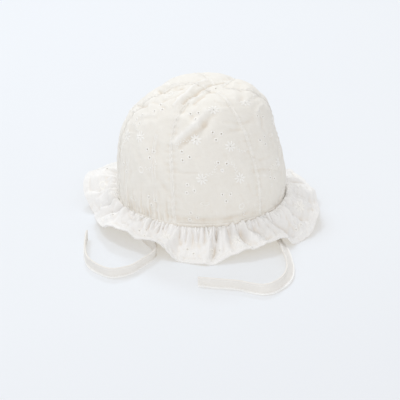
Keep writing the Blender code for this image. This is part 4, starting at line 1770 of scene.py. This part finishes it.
@dataclass(frozen=True)
class CottonFinish:
    """Washed plain-weave cotton, with painted shade in its folds and painted highlights on its ridges."""

    name: str
    light: Colour
    dark: Colour
    weave_pitch: float = 0.00042
    weave_depth: float = 0.000022
    weave_shade: float = 0.05
    slub_size: float = 0.0009
    slub_detail: float = 2.0
    slub_depth: float = 0.00003
    slub_shade: float = 0.30
    slub_rough: float = 0.12
    crinkle_size: float = 0.0042
    crinkle_depth: float = 0.00030
    crinkle_detail: float = 3.0
    crinkle_roughness: float = 0.55
    cloud_size: float = 0.021
    cloud_shade: float = 0.75
    cloud_detail: float = 3.0
    cloud_roughness: float = 0.6
    roughness: float = 0.86
    fold_strength: float = 0.7
    fold_from: float = 0.06
    # Painted shade for the folds and painted highlight for the ridges, blended in by fold depth.
    shaded: Colour = (0.790, 0.705, 0.600)
    painted_ridge_highlight: Colour = (0.975, 0.960, 0.935)
    # Tie edges: painted highlight on the lower edge (welt colour) and painted shade on the upper edge (edge
    # colour).
    painted_edges_from: float = 0.0
    painted_highlight_fade: float = 0.0004
    welt: Colour = (0.990, 0.985, 0.970)
    edge_fade: float = 0.0006
    edge: Colour = (0.850, 0.820, 0.775)

    def build(self) -> Material:
        """Make the cotton.

        Returns:
            The material.
        """
        bench = Bench.named(self.name)
        across, along = bench.cloth_map()
        step = 2.0 * math.pi / self.weave_pitch
        weave = (across * step).sine() * (along * step).sine()
        crinkle = bench.noise(self.crinkle_size, self.crinkle_detail, self.crinkle_roughness)
        slub = bench.noise(self.slub_size, self.slub_detail)
        cloud = bench.noise(self.cloud_size, self.cloud_detail, self.cloud_roughness)
        height = weave * self.weave_depth + crinkle * self.crinkle_depth + slub * self.slub_depth
        shade = cloud * self.cloud_shade + slub * self.slub_shade
        shade = shade + weave * self.weave_shade - self.weave_shade
        colour = bench.blend(shade, self.light, self.dark)
        # Painted shade in the folds and painted highlight on the ridges, by how deep the cloth lies in a
        # fold.
        fold = bench.fold()
        colour = bench.blend((fold * self.fold_strength - self.fold_from).held(), colour, self.shaded)
        colour = bench.blend((fold * -self.fold_strength - self.fold_from).held(), colour, self.painted_ridge_highlight)
        # Painted highlight along the tie's lower edge and painted shade along its upper edge.
        if self.painted_edges_from:
            painted_highlight_share = ((along * -1.0 - self.painted_edges_from) / self.painted_highlight_fade).held()
            colour = bench.blend(painted_highlight_share, colour, self.welt)
            painted_shade_share = ((along - self.painted_edges_from) / self.edge_fade).held()
            colour = bench.blend(painted_shade_share, colour, self.edge)
        rough = slub * self.slub_rough + self.roughness - self.slub_rough / 2.0
        return bench.finish(
            colour, rough, height, Sheen_Weight=0.10, Sheen_Roughness=0.45, Specular_IOR_Level=0.2
        )


@dataclass(frozen=True)
class ThreadFinish:
    """Sewing or embroidery thread."""

    name: str
    light: Colour
    dark: Colour
    strand_pitch: float = 0.00030
    strand_depth: float = 0.000008
    strand_slant: float = 2500.0
    strand_shade: float = 0.25
    fuzz_size: float = 0.0006
    fuzz_detail: float = 2.0
    fuzz_depth: float = 0.00001
    fuzz_shade: float = 0.5
    fuzz_rough: float = 0.15
    roughness: float = 0.62

    def build(self) -> Material:
        """Make the thread.

        Returns:
            The material.
        """
        bench = Bench.named(self.name)
        across, along = bench.cloth_map()
        strands = (across * (2.0 * math.pi / self.strand_pitch) + along * self.strand_slant).sine()
        fuzz = bench.noise(self.fuzz_size, self.fuzz_detail)
        height = strands * self.strand_depth + fuzz * self.fuzz_depth
        colour = bench.blend(strands * self.strand_shade + fuzz * self.fuzz_shade, self.light, self.dark)
        rough = fuzz * self.fuzz_rough + self.roughness
        return bench.finish(colour, rough, height, Sheen_Weight=0.12, Specular_IOR_Level=0.3)


@dataclass(frozen=True)
class PaperFinish:
    """Plain pale studio paper, with painted shade making it a little darker towards the front right, and a
    painted warm glow.
    """

    name: str = "studio_paper"
    light: Colour = (0.400, 0.464, 0.556)
    dark: Colour = (0.340, 0.395, 0.492)
    # Painted light: the paper glows with this warm colour and strength, though it is no lamp.
    painted_glow: Colour = (1.0, 0.900, 0.750)
    painted_glow_strength: float = 0.445
    darker_right: float = 0.8
    darker_front: float = 1.6
    darker_from: float = 0.2
    cloud_size: float = 0.35
    cloud_detail: float = 2.0
    cloud_shade: float = 0.15
    grain_size: float = 0.002
    grain_detail: float = 1.0
    grain_depth: float = 0.00002
    roughness: float = 0.9

    def build(self) -> Material:
        """Make the paper.

        Returns:
            The material.
        """
        bench = Bench.named(self.name)
        where = bench.node("ShaderNodeTexCoord")
        parted = bench.node("ShaderNodeSeparateXYZ", Vector=where.outputs["Object"])
        across, away = bench.wire(parted.outputs["X"]), bench.wire(parted.outputs["Y"])
        # Painted shade: the paper darkens towards the front right.
        share = (across * self.darker_right - away * self.darker_front - self.darker_from).held()
        clouded = share + bench.noise(self.cloud_size, self.cloud_detail) * self.cloud_shade
        colour = bench.blend(clouded, self.light, self.dark)
        grain = bench.noise(self.grain_size, self.grain_detail) * self.grain_depth
        # The emission is painted light, a warm glow that also lights the shade under the bonnet.
        return bench.finish(
            colour, self.roughness, grain, Specular_IOR_Level=0.1,
            Emission_Color=(*self.painted_glow, 1.0), Emission_Strength=self.painted_glow_strength,
        )


@dataclass
class Wardrobe:
    """All the finishes, each made once."""

    cloths: dict[Slot, Material] = field(default_factory=dict)
    threads: dict[Slot, Material] = field(default_factory=dict)
    seam_thread: Material | None = None

    def build(self) -> "Wardrobe":
        """Make every cotton and its thread.

        Returns:
            The filled wardrobe.
        """
        self.seam_thread = ThreadFinish("seam_thread", (0.932, 0.910, 0.868), (0.898, 0.872, 0.824)).build()
        cottons = {
            Slot.CROWN: ((0.896, 0.868, 0.816), (0.856, 0.820, 0.756)),
            Slot.BAND: ((0.905, 0.870, 0.815), (0.865, 0.820, 0.750)),
            Slot.RUFFLE: ((0.915, 0.904, 0.894), (0.873, 0.856, 0.834)),
            Slot.TIE: ((0.910, 0.885, 0.850), (0.870, 0.840, 0.795)),
        }
        for slot, (light, dark) in cottons.items():
            painted_edges_from = TIE_PAINTED_EDGES_FROM if slot is Slot.TIE else 0.0
            self.cloths[slot] = CottonFinish(slot.value, light, dark, painted_edges_from=painted_edges_from).build()
            name = slot.value.replace("cotton", "thread")
            self.threads[slot] = ThreadFinish(name, (0.950, 0.935, 0.902), (0.915, 0.895, 0.858)).build()
        return self


def add_piece(
    name: str, points: Array, faces: Sequence, thread: Array, material: Material,
    sharp: float = 55.0, girth: float = 0.0, folds: Array | None = None,
) -> Piece:
    """Make one named piece that rides on the bonnet.

    Args:
        name: The piece's name.
        points: Its points, in metres.
        faces: Its faces, as point numbers.
        thread: Flat cloth coordinates of each point.
        material: Its finish.
        sharp: Edges bent more than this many degrees stay crisp.
        girth: Length after which the cloth coordinates start again round the piece, or 0.
        folds: How deep each point lies in a fold, if the cloth is folded; it sets the painted fold shade and
            ridge highlight.

    Returns:
        The piece.
    """
    mesh = bpy.data.meshes.new(name)
    mesh.from_pydata(points.tolist(), [], faces if isinstance(faces, list) else faces.tolist())
    layer = mesh.uv_layers.new(name=CLOTH_MAP)
    corners = np.empty(len(mesh.loops), dtype=np.int32)
    mesh.loops.foreach_get("vertex_index", corners)
    placed = thread[corners]
    if girth:
        counts = np.array([len(face.vertices) for face in mesh.polygons])
        furthest = np.maximum.reduceat(placed[:, 0], np.concatenate([[0], np.cumsum(counts)[:-1]]))
        placed[:, 0] += girth * (np.repeat(furthest, counts) - placed[:, 0] > girth / 2.0)
    layer.uv.foreach_set("vector", placed.astype(np.float32).ravel())
    depths = np.zeros((len(corners), 2), dtype=np.float32)
    if folds is not None:
        depths[:, 0] = folds[corners]
    mesh.uv_layers.new(name=FOLD_MAP).uv.foreach_set("vector", depths.ravel())
    mesh.shade_smooth()
    mesh.set_sharp_from_angle(angle=math.radians(sharp))
    mesh.materials.append(material)
    item = bpy.data.objects.new(name, mesh)
    bpy.context.scene.collection.objects.link(item)
    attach(item, "root")
    return item


def sew(name: str, form: FlatMesh, place: Surface, material: Material) -> Piece:
    """Thread work laid on a surface, as one piece."""
    return add_piece(name, form.laid(place), form.quads, form.thread, material)


@dataclass
class Gore:
    """One sewn gore of the crown with its embroidery and seam stitching."""

    name: str
    number: int
    form: CrownForm
    motifs: Sequence[Motif]
    pitch: float = 0.00095
    cloth: float = 0.0006
    seam_gap: float = 0.00001
    least_half: float = 0.00005
    cut_margin: float = 0.00002
    base_clear: float = 0.0040
    low: float = 0.0007
    tip: float = 0.0006
    stitch_in: float = 0.00125
    stitch_from: float = 0.0058
    stitch_tip: float = 0.006
    seam_points: int = 240
    area_points: int = 400
    weave_shift: float = 0.11
    spread: int = 14
    full_fold: float = 0.0007

    def half(self, along: Array) -> Array:
        """Half the gore's cut width."""
        return np.maximum(self.form.half_width(along) - self.seam_gap, self.least_half)

    def clear(self, flat: Array) -> Array:
        """How far flat points lie inside the gore's edge."""
        sides = self.half(flat[:, 1]) - np.abs(flat[:, 0])
        return np.minimum(sides, flat[:, 1] - self.base_clear)

    def needlework(self) -> Needlework:
        """Set out the motifs on the flat cloth.

        Returns:
            The gore's holes and embroidery.
        """
        places = []
        for motif in self.motifs:
            along = float(self.form.along_at(np.array([motif.rise]))[0])
            across = motif.across * float(self.form.half_width(np.array([along]))[0])
            places.append((motif.kind, across, along, motif.spin))
        return embroider(places, self.clear)

    def seam_lines(self) -> list[Array]:
        """The stitch rows along both sides.

        Returns:
            The flat points of each row.
        """
        last = self.form.walk[1][-1] - self.stitch_tip
        along = np.linspace(self.stitch_from, last, self.seam_points)
        across = self.half(along) - self.stitch_in
        return [np.column_stack([side * across, along]) for side in (-1.0, 1.0)]

    def build(self, wardrobe: Wardrobe) -> list[Piece]:
        """Make the cloth, the embroidery and the stitches.

        Args:
            wardrobe: The finishes.

        Returns:
            The three pieces.
        """
        work = self.needlework()
        top = self.form.walk[1][-1] - self.tip
        rows = grid_rows(self.low, top, self.pitch, self.half)
        flat, triangles = cut_cloth(
            rows, work.holes, self.pitch, lambda along: self.half(along) + self.cut_margin
        )
        turn, rise = self.form.turn_and_rise(self.number, flat)
        outer = self.form.point(turn, rise)
        points, faces = thick_shell(outer, triangles, np.full(len(flat), self.cloth))
        thread = np.tile(flat + np.array([self.weave_shift * self.number, 0.0]), (2, 1))
        # Fold depth, which sets the painted fold shade and ridge highlight of the gore.
        folds = np.tile(fold_depth(outer, triangles, self.spread, self.full_fold), 2)
        finish = wardrobe.cloths[Slot.CROWN]
        cloth = add_piece("crown_gore_" + self.name, points, faces, thread, finish, folds=folds)
        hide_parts("gore_" + self.name)
        place = partial(self.form.laid, self.number)
        sewn = sew("embroidery_" + self.name, work.thread, place, wardrobe.threads[Slot.CROWN])
        seams = np.concatenate([stitch_places(line, STITCH_PITCH) for line in self.seam_lines()])
        seam_thread = wardrobe.seam_thread
        stitches = sew("seam_stitches_" + self.name, STITCH.scattered(seams), place, seam_thread)
        along = np.linspace(self.low, top, self.area_points)
        widths = 2.0 * self.half(along)
        2.0 * float(self.half(np.array([self.low]))[0])
        top - self.low
        return [cloth, sewn, stitches]


@dataclass
class Crown:
    """The six gores."""

    form: CrownForm
    wardrobe: Wardrobe

    def build(self) -> list[Piece]:
        """Make every gore.

        Returns:
            All their pieces.
        """
        patterns = (
            ("front_right", FRONT_RIGHT_MOTIFS),
            ("right", SIDE_MOTIFS),
            ("back_right", FRONT_LEFT_MOTIFS),
            ("back_left", FRONT_RIGHT_MOTIFS),
            ("left", SIDE_MOTIFS),
            ("front_left", FRONT_LEFT_MOTIFS),
        )
        made = []
        for number, (name, motifs) in enumerate(patterns):
            made += Gore(name, number, self.form, motifs).build(self.wardrobe)
        return made


@dataclass
class SeamBand:
    """The topstitched binding between crown and brim."""

    form: BandForm
    wardrobe: Wardrobe
    columns: int = 720
    face_points: int = 17
    row_points: int = 400
    lip: float = 0.0003
    row_shift: float = 0.001

    def section(self) -> Array:
        """The binding's folded section.

        Returns:
            Share of the width and distance out, once round it.
        """
        form = self.form
        shares = np.linspace(0.0, 1.0, self.face_points)
        face = np.column_stack([shares, form.face(shares)])
        # Corners round the slot that takes the crown's edge, then round the back.
        slot = [
            (1.02, form.slot_outside + self.lip), (1.0, form.slot_outside),
            (form.slot_floor, form.slot_outside), (form.slot_floor, form.slot_inside),
            (0.9, form.slot_inside),
        ]
        back = [
            (0.94, form.inside + 0.0002), (0.9, form.inside), (0.1, form.inside),
            (0.01, form.inside + self.lip), (0.0, 0.0),
        ]
        return np.concatenate([face, np.array(slot + back)])

    def build(self) -> list[Piece]:
        """Make the band and its two stitch rows.

        Returns:
            The two pieces.
        """
        section = self.section()
        sides = len(section)
        girth = 2.0 * math.pi * self.form.crown.radius
        turn = np.repeat(np.arange(self.columns) * 360.0 / self.columns, sides)
        share, offset = np.tile(section[:, 0], self.columns), np.tile(section[:, 1], self.columns)
        points = self.form.point(turn, share, offset)
        around_cloth = np.radians(turn) * self.form.crown.radius
        thread = np.column_stack([around_cloth, share * self.form.width + offset])
        band = add_piece(
            "seam_band", points, tube_quads(self.columns, sides, True)[:, ::-1], thread,
            self.wardrobe.cloths[Slot.BAND], girth=girth,
        )
        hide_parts("base_band")
        run = np.linspace(0.0, girth, self.row_points)
        rows = []
        for line in self.form.stitch_lines:
            level = np.full(len(run), line * self.form.width)
            rows.append(stitch_places(np.column_stack([run, level]), STITCH_PITCH, line * self.row_shift))
        sewn = STITCH.scattered(np.concatenate(rows))
        stitches = sew("band_stitches", sewn, self.form.laid, self.wardrobe.threads[Slot.BAND])
        return [band, stitches]


@dataclass
class RuffleBrim:
    """The gathered brim with its hem, eyelets and hem stitching."""

    form: RuffleForm
    wardrobe: Wardrobe
    columns: int = 1240
    rows: int = 36
    crowding: float = 1.25
    spread: int = 14
    full_fold: float = 0.0010
    plain_neck: float = 0.25
    sharp: float = 65.0
    floor_room: float = 0.9
    motif_pitch: float = 0.0215
    motif_rows: tuple[float, float] = (0.0215, 0.0165)
    motif_spin: float = 37.0
    neck_clear: float = 0.004
    cut_margin: float = 0.001
    stitch_in: float = 0.0007
    stitch_pitch: float = STITCH_PITCH * 0.94
    row_points: int = 1200
    hem_points: int = 1500
    join_digits: int = 7

    def motifs(self) -> list[tuple[Stitchery, float, float, float]]:
        """Set out the motifs in two staggered rows round the brim.

        Returns:
            Kind, across, along and spin in degrees of each.
        """
        count = round(self.form.girth / self.motif_pitch)
        kinds = (Stitchery.TRIO, Stitchery.DAISY, Stitchery.TRIO, Stitchery.RING)
        places = []
        for number in range(count):
            across = (number + 0.5) * self.form.girth / count
            along = self.motif_rows[number % 2]
            places.append((kinds[number % 4], across, along, self.motif_spin * number))
        return places

    def clear(self, flat: Array) -> Array:
        """How far flat points lie inside the brim's neck and hem."""
        to_hem = self.form.width - self.form.hem_width - flat[:, 1]
        return np.minimum(flat[:, 1] - self.neck_clear, to_hem)

    def cut(self, holes: Array) -> tuple[Array, Array]:
        """Cut the flat strip and join its two ends.

        Args:
            holes: Rows of across, along and radius.

        Returns:
            The flat points, and the triangles between them.
        """
        form = self.form
        end = form.girth / 2.0
        shares = np.linspace(0.0, 1.0, self.rows) ** self.crowding
        across = np.linspace(-end, end, self.columns + 1)
        grid = [np.column_stack([across, np.full(len(across), share * form.width)]) for share in shares]
        centred = holes - np.array([end, 0.0, 0.0])
        reach = end + self.cut_margin
        flat, triangles = cut_cloth(
            grid, centred, form.width / self.rows, lambda along: np.full(np.shape(along), reach)
        )
        levels = np.round(flat[:, 1], self.join_digits).tolist()
        first = {level: index for index, level in enumerate(levels) if flat[index, 0] < TINY - end}
        joined = np.arange(len(flat))
        for index in np.flatnonzero(flat[:, 0] > end - TINY):
            joined[index] = first[levels[index]]
        used, triangles = np.unique(joined[triangles], return_inverse=True)
        return flat[used] + np.array([end, 0.0]), triangles.reshape(-1, 3)[:, ::-1]

    def build(self) -> list[Piece]:
        """Make the ruffle, its embroidery and the hem's stitch row.

        Returns:
            The three pieces.
        """
        form = self.form
        work = embroider(self.motifs(), self.clear)
        flat, triangles = self.cut(work.holes)
        turn, share = np.degrees(flat[:, 0] / form.flat_radius), flat[:, 1] / form.width
        top = form.point(turn, share)
        cloth = form.cloth_at(share)
        points, faces = thick_shell(top, triangles, cloth)
        under = points[len(top):]
        under[:, 2] = np.maximum(under[:, 2], 0.0)
        points[:len(top), 2] = np.maximum(points[:len(top), 2], under[:, 2] + cloth * self.floor_room)
        # Fold depth for the painted fold shade and ridge highlight, with less painted shade near the neck on
        # the right side.
        folds = fold_depth(top, triangles, self.spread, self.full_fold)
        folds *= 1.0 - form.side(turn) * (1.0 - ease(share / self.plain_neck))
        piece = add_piece(
            "ruffle", points, faces, np.tile(flat, (2, 1)), self.wardrobe.cloths[Slot.RUFFLE],
            self.sharp, form.girth, np.tile(folds, 2),
        )
        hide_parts("ruffle_brim")
        thread_finish = self.wardrobe.threads[Slot.RUFFLE]
        sewn = sew("ruffle_embroidery", work.thread, form.laid, thread_finish)
        run = np.linspace(0.0, form.girth, self.row_points)
        line = np.column_stack([run, np.full(len(run), form.width - form.hem_width + self.stitch_in)])
        rows = STITCH.scattered(stitch_places(line, self.stitch_pitch))
        stitches = sew("hem_stitches", rows, form.laid, thread_finish)
        hem = form.point(np.linspace(0.0, 360.0, self.hem_points), np.ones(self.hem_points))
        return [piece, sewn, stitches]


@dataclass
class Tie:
    """One flat cotton tie."""

    name: str
    form: StrapForm
    wardrobe: Wardrobe
    ring_step: float = 0.0009
    rim: tuple[float, ...] = (0.0, 0.00012, 0.00035, 0.0007, 0.0011, 0.0014, 0.0018, 0.0022)
    flat_from: float = 0.003
    flat_points: int = 6
    stitch_in: float = 0.0019
    stitch_end: float = 0.002
    hem_stitch: float = 0.0009
    stitch_pitch: float = STITCH_PITCH * 0.9
    edge_points: int = 200
    end_points: int = 20
    path_points: int = 60

    def section(self) -> Array:
        """Heights of the section's points.

        Returns:
            Heights from the middle line, from the lower edge to the upper.
        """
        half = self.form.width / 2.0
        rim = np.array(self.rim)
        flat = np.linspace(self.flat_from - half, half - self.flat_from, self.flat_points)
        return np.concatenate([-half + rim, flat, half - rim[::-1]])

    def seams(self) -> FlatMesh:
        """The stitch rows along both edges and across the folded end.

        Returns:
            The stitches on the flat strap.
        """
        form = self.form
        run = np.linspace(self.stitch_end, form.length - self.stitch_end, self.edge_points)
        edge = form.width / 2.0 - self.stitch_in
        lines = [np.column_stack([run, np.full(len(run), high * edge)]) for high in (-1.0, 1.0)]
        last = np.linspace(-edge, edge, self.end_points)
        across_end = np.full(len(last), form.length - form.end_fold + self.hem_stitch)
        lines.append(np.column_stack([across_end, last]))
        return STITCH.scattered(np.concatenate([stitch_places(line, self.stitch_pitch) for line in lines]))

    def build(self) -> list[Piece]:
        """Make the strap and its edge stitching.

        Returns:
            The two pieces.
        """
        form = self.form
        heights = self.section()
        ring = np.concatenate([heights, heights[::-1]])
        sides = np.repeat([1.0, -1.0], len(heights))
        count = round(form.length / self.ring_step)
        along = np.repeat(np.linspace(0.0, form.length, count + 1), len(ring))
        high = np.tile(ring, count + 1)
        out = np.tile(sides, count + 1) * form.half_cloth(along, high)
        points = form.point(along, high, out)
        faces = tube_quads(count + 1, len(ring), False)[:, ::-1].tolist()
        faces += [list(range(len(ring))), [count * len(ring) + side for side in reversed(range(len(ring)))]]
        thread = np.column_stack([along, high + out])
        strap = add_piece(
            self.name + "_strap", points, faces, thread, self.wardrobe.cloths[Slot.TIE]
        )
        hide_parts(self.name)
        sewn = self.seams()
        both = FlatMesh.joined([
            FlatMesh(sewn.laid(partial(form.laid, side)), sewn.quads, sewn.thread) for side in (1.0, -1.0)
        ])
        stitches = add_piece(
            self.name + "_stitches", both.points, both.quads, both.thread, self.wardrobe.threads[Slot.TIE],
        )
        middles = form.frames[1]
        round(form.length, 4)
        return [strap, stitches]


LAMPS = (
    Lamp("overhead_softbox", (-0.85, 0.22, 2.00), 0.36, 9.8, (0.93, 0.97, 1.00)),
    Lamp("back_softbox", (-0.15, 1.40, 1.72), 0.30, 9.3, (0.91, 0.96, 1.00)),
    Lamp("front_fill", (0.10, -2.20, 1.00), 1.20, 9.2, (1.00, 0.985, 0.955)),
)


@dataclass
class Studio:
    """Pale floor, soft light and the camera."""

    aim: tuple[float, float, float] = (-0.0015, 0.0, 0.0132)
    elevation: float = 24.0
    distance: float = 1.10
    lens: float = 110.0
    film_width: float = 36.0
    lit_point: tuple[float, float, float] = (0.0, 0.0, 0.05)
    floor_size: float = 16.0
    sky: Colour = (0.995, 0.995, 1.0)
    sky_strength: float = 0.71

    def hang(
        self, name: str, kind: bpy.types.Camera | bpy.types.Light, place: Vector, facing: Vector
    ) -> Piece:
        """Put a camera or a lamp in its place.

        Args:
            name: Its name.
            kind: The camera's or the lamp's own settings.
            place: Where it stands.
            facing: The way it looks.

        Returns:
            The camera or lamp.
        """
        item = bpy.data.objects.new(name, kind)
        item.location = place
        item.rotation_mode = "QUATERNION"
        item.rotation_quaternion = facing.to_track_quat("-Z", "Y")
        bpy.context.scene.collection.objects.link(item)
        return item

    def camera(self) -> Piece:
        """Set the camera at the photograph's angle.

        Returns:
            The camera.
        """
        tilt = math.radians(self.elevation)
        back = Vector((0.0, -math.cos(tilt), math.sin(tilt)))
        lens = bpy.data.cameras.new("camera")
        lens.sensor_width = self.film_width
        lens.lens = self.lens
        item = self.hang("camera", lens, Vector(self.aim) + back * self.distance, -back)
        bpy.context.scene.camera = item
        return item

    def lamp(self, lamp: Lamp) -> Piece:
        """Hang one soft light, turned towards the middle of the bonnet.

        Args:
            lamp: Its place, size, strength and colour.

        Returns:
            The light.
        """
        light = bpy.data.lights.new(lamp.name, "AREA")
        light.shape = "SQUARE"
        light.size = lamp.size
        light.energy = lamp.watts
        light.color = lamp.colour
        place = Vector(lamp.place)
        return self.hang(lamp.name, light, place, Vector(self.lit_point) - place)

    def build(self) -> Piece:
        """Make the floor, the lights and the sky.

        Returns:
            The floor.
        """
        scene = bpy.context.scene
        scene.view_settings.view_transform = "Standard"
        half = self.floor_size / 2.0
        mesh = bpy.data.meshes.new("floor")
        corners = [(-half, -half, 0), (half, -half, 0), (half, half, 0), (-half, half, 0)]
        mesh.from_pydata(corners, [], [(0, 1, 2, 3)])
        mesh.uv_layers.new(name=CLOTH_MAP)
        mesh.materials.append(PaperFinish().build())
        floor = bpy.data.objects.new("floor", mesh)
        scene.collection.objects.link(floor)
        for lamp in LAMPS:
            self.lamp(lamp)
        world = bpy.data.worlds.new("sky")
        world.use_nodes = True
        sky = world.node_tree.nodes["Background"]
        sky.inputs["Color"].default_value = (*self.sky, 1.0)
        sky.inputs["Strength"].default_value = self.sky_strength
        scene.world = world
        return floor


def main() -> None:
    """Build the scene: camera, ties, then the bonnet from the crown down."""
    logging.basicConfig(level=logging.INFO, format="%(message)s")
    studio = Studio()
    studio.camera()
    wardrobe = Wardrobe().build()
    crown = CrownForm()
    made = []
    made += Tie("tie_left", StrapForm(TIE_LEFT, seed=3), wardrobe).build()
    made += Tie("tie_right", StrapForm(TIE_RIGHT, seed=5), wardrobe).build()
    made += Crown(crown, wardrobe).build()
    made += SeamBand(BandForm(crown), wardrobe).build()
    made += RuffleBrim(RuffleForm(crown), wardrobe).build()
    studio.build()
    for piece in made:
        triangles = sum(len(face.vertices) - 2 for face in piece.data.polygons)
        LOG.info("%s: %d triangles", piece.name, triangles)


if __name__ == "__main__":
    main()
